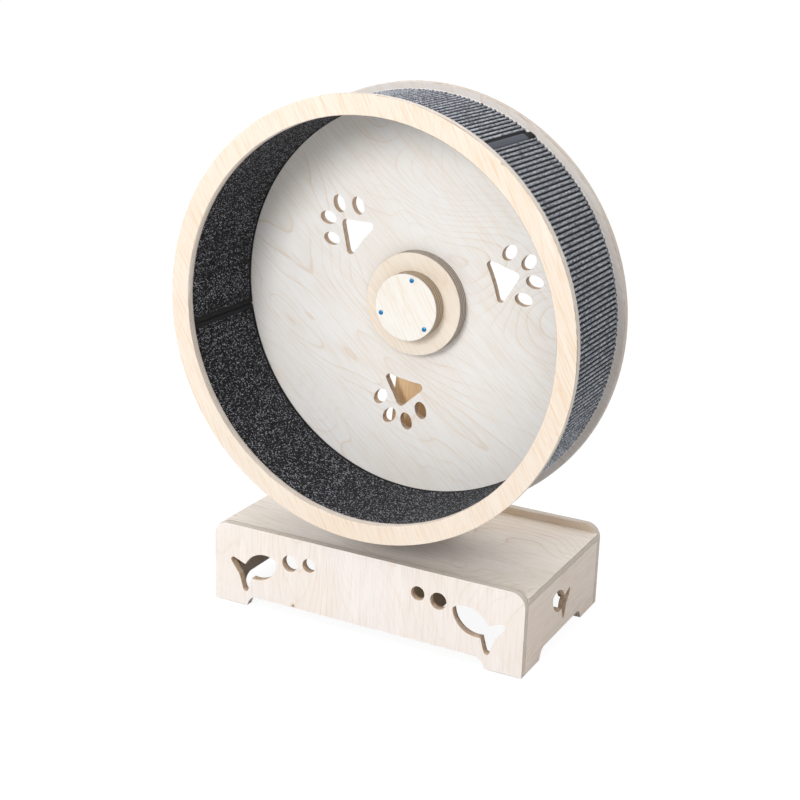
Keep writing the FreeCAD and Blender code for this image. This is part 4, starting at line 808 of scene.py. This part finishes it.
# The back panel's face is darker than the other boards': partly painted shade, for its inner lip in shade
# above the top board.
board("back_panel", "Y", grain=3, face=(226, 212, 196), figure=TAN, strength=0.3, strokes=0.26, seed=21.0)
board("top_board", "Z", grain=-8, face=(246, 238, 229), figure=(196, 168, 142), strength=0.4, strokes=0.3,
      seed=25.0)
for name, seed in (("left_side_panel", 31.0), ("right_side_panel", 36.0)):
    board(name, "X", grain=6, face=(240, 228, 218), figure=(198, 168, 144), strength=0.34, strokes=0.34,
          seed=seed, burnt=((-0.1, 0.13), (0.03, 0.14)))
for name, seed in (("left_rib", 41.0), ("right_rib", 44.0)):
    board(name, "X", grain=0, face=(226, 208, 182), figure=TAN, strength=0.4, strokes=0.4, seed=seed)
for name, seed in (("left_brace", 48.0), ("right_brace", 51.0)):
    board(name, "X", grain=90, face=(236, 222, 200), figure=TAN, strength=0.4, strokes=0.3, seed=seed)
# The post's front layer is browner than its rear layer: partly painted shade, for its face in the wheel's
# shadow behind the disc's paw cut-outs.
board("post_front_layer", "Y", grain=90, face=(226, 196, 156), figure=(188, 150, 110), strength=0.4,
      strokes=0.4, seed=55.0)
board("post_rear_layer", "Y", grain=90, face=(236, 220, 196), figure=(202, 172, 136), strength=0.4,
      strokes=0.3, seed=58.0)
for name, seed in (("front_clamp_block", 61.0), ("rear_clamp_block", 64.0)):
    board(name, "Y", layers=9, grain=0, face=(228, 206, 174), figure=TAN, strength=0.4, strokes=0.4,
          seed=seed)
for name, seed in (("upper_drum_shell", 71.0), ("lower_drum_shell", 74.0)):
    bent = plywood(name + "_ply", "R", DRUM_INSIDE, DRUM_THICK, layers=5, grain=90, face=(232, 214, 186),
                   figure=TAN, strength=0.3, strokes=0.4, seed=seed)
    dress(name, bent, bevel=0)

for name in ("corner_blocks", "panel_dowels", "top_board_dowels"):
    dress(name, BEECH, 0.4 * MM)
dress("foot_pads", RUBBER, 0.3 * MM)
dress("bearing_housing", BLACKENED, 0.4 * MM)
for name in (
    "axle", "axle_nut", "axle_bolts", "axle_bolt_washers", "axle_washer", "bearing_spacer",
    "hub_plate_screws", "housing_bolts", "housing_nuts", "post_screws", "brace_screws", "clamp_bolts",
    "clamp_nuts", "corner_block_screws",
):
    dress(name, STEEL, 0.3 * MM)
for end in ("front", "rear"):
    dress(f"{end}_bearing_cage", BRASS, bevel=0)
    for part in ("inner_race", "outer_race", "balls"):
        dress(f"{end}_bearing_{part}", STEEL, bevel=0)


# ---------------------------------------------------------------- floor, light and camera

def stage_floor():
    """White floor: to the camera it is a white backdrop that keeps a light shadow."""
    s = Material("studio_floor")
    tone = s.mix(s.noise(s.place, 3.0, 2.0), grey(0.62), grey(0.66))
    diffuse = s.add("ShaderNodeBsdfDiffuse", {"Color": tone})
    shadowed = s.add("ShaderNodeBsdfDiffuse", {"Color": grey(0.12)})
    glow = s.add("ShaderNodeEmission", {"Color": grey(1), "Strength": 0.93})
    both = s.add("ShaderNodeAddShader", {0: shadowed.outputs[0], 1: glow.outputs[0]})
    path = s.add("ShaderNodeLightPath").outputs
    seen = s.add("ShaderNodeMixShader", {0: path["Is Camera Ray"], 1: diffuse.outputs[0], 2: both.outputs[0]})
    s.add("ShaderNodeOutputMaterial", {"Surface": seen.outputs[0]})
    half = 30.0
    corners = [(-half, -half, 0), (half, -half, 0), (half, half, 0), (-half, half, 0)]
    mesh = bpy.data.meshes.new("floor")
    mesh.from_pydata(corners, [], [(0, 1, 2, 3)])
    floor = bpy.data.objects.new("floor", mesh)
    mesh.materials.append(s.material)
    bpy.context.scene.collection.objects.link(floor)


def studio_world(front, back, overhead):
    """Plain studio dome: dim on the camera's side, brighter behind and overhead. It is white where
    it is seen."""
    backdrop = bpy.data.worlds.new("studio")
    backdrop.use_nodes = True
    s = Nodes(backdrop.node_tree)
    _, towards_back, up = s.split(s.add("ShaderNodeTexCoord").outputs["Generated"])
    level = s.fit(towards_back, -0.6, 0.8, front, back, "LINEAR")
    level = s.plus(level, s.fit(up, 0.0, 1.0, 0.0, overhead, "LINEAR"))
    dome = s.add("ShaderNodeBackground", {"Color": grey(1), "Strength": level})
    white = s.add("ShaderNodeBackground", {"Color": grey(1), "Strength": 1.0})
    path = s.add("ShaderNodeLightPath").outputs
    mirrored = s.math("MAXIMUM", path["Is Camera Ray"], path["Is Glossy Ray"])
    seen = s.math("MAXIMUM", mirrored, path["Is Transmission Ray"])
    both = s.add("ShaderNodeMixShader", {0: seen, 1: dome.outputs[0], 2: white.outputs[0]})
    s.add("ShaderNodeOutputWorld", {"Surface": both.outputs[0]})
    bpy.context.scene.world = backdrop


def area_light(name, place, target, size, power):
    light = bpy.data.lights.new(name, "AREA")
    light.shape = "DISK"
    light.size = size
    light.energy = power
    lamp = bpy.data.objects.new(name, light)
    lamp.location = place
    lamp.rotation_euler = (Vector(target) - Vector(place)).to_track_quat("-Z", "Y").to_euler()
    bpy.context.scene.collection.objects.link(lamp)


def fitted_camera(eye, aim, roll, focal_length):
    """The camera that was fitted to the photograph. roll is in radians, focal_length in mm."""
    lens = bpy.data.cameras.new("camera")
    lens.lens, lens.sensor_width = focal_length, 36
    lens.clip_start, lens.clip_end = 0.05, 100
    camera = bpy.data.objects.new("camera", lens)
    camera.location = eye
    camera.rotation_mode = "QUATERNION"
    looking = (Vector(aim) - Vector(eye)).to_track_quat("-Z", "Y")
    camera.rotation_quaternion = looking @ Quaternion((0, 0, 1), roll)
    bpy.context.scene.collection.objects.link(camera)
    bpy.context.scene.camera = camera


stage_floor()
studio_world(front=0.09, back=0.7, overhead=0.58)
area_light("key", place=(-0.5, -4.4, 2.2), target=(0, 0, 0.55), size=1.7, power=110)
area_light("top", place=(0.1, -1.3, 3.9), target=(0.05, -0.1, 0.3), size=2.4, power=30)
area_light("left", place=(-2.6, -0.6, 2.0), target=(-0.25, 0, 0.15), size=1.5, power=20)
area_light("right", place=(2.2, -3.0, 1.6), target=(0, 0, 0.5), size=1.6, power=9)
fitted_camera(eye=(1.2237, -2.4202, 1.2971), aim=(-0.0359, 0.0285, 0.4040), roll=0.0306, focal_length=68.19)
bpy.context.scene.view_settings.view_transform = "Standard"
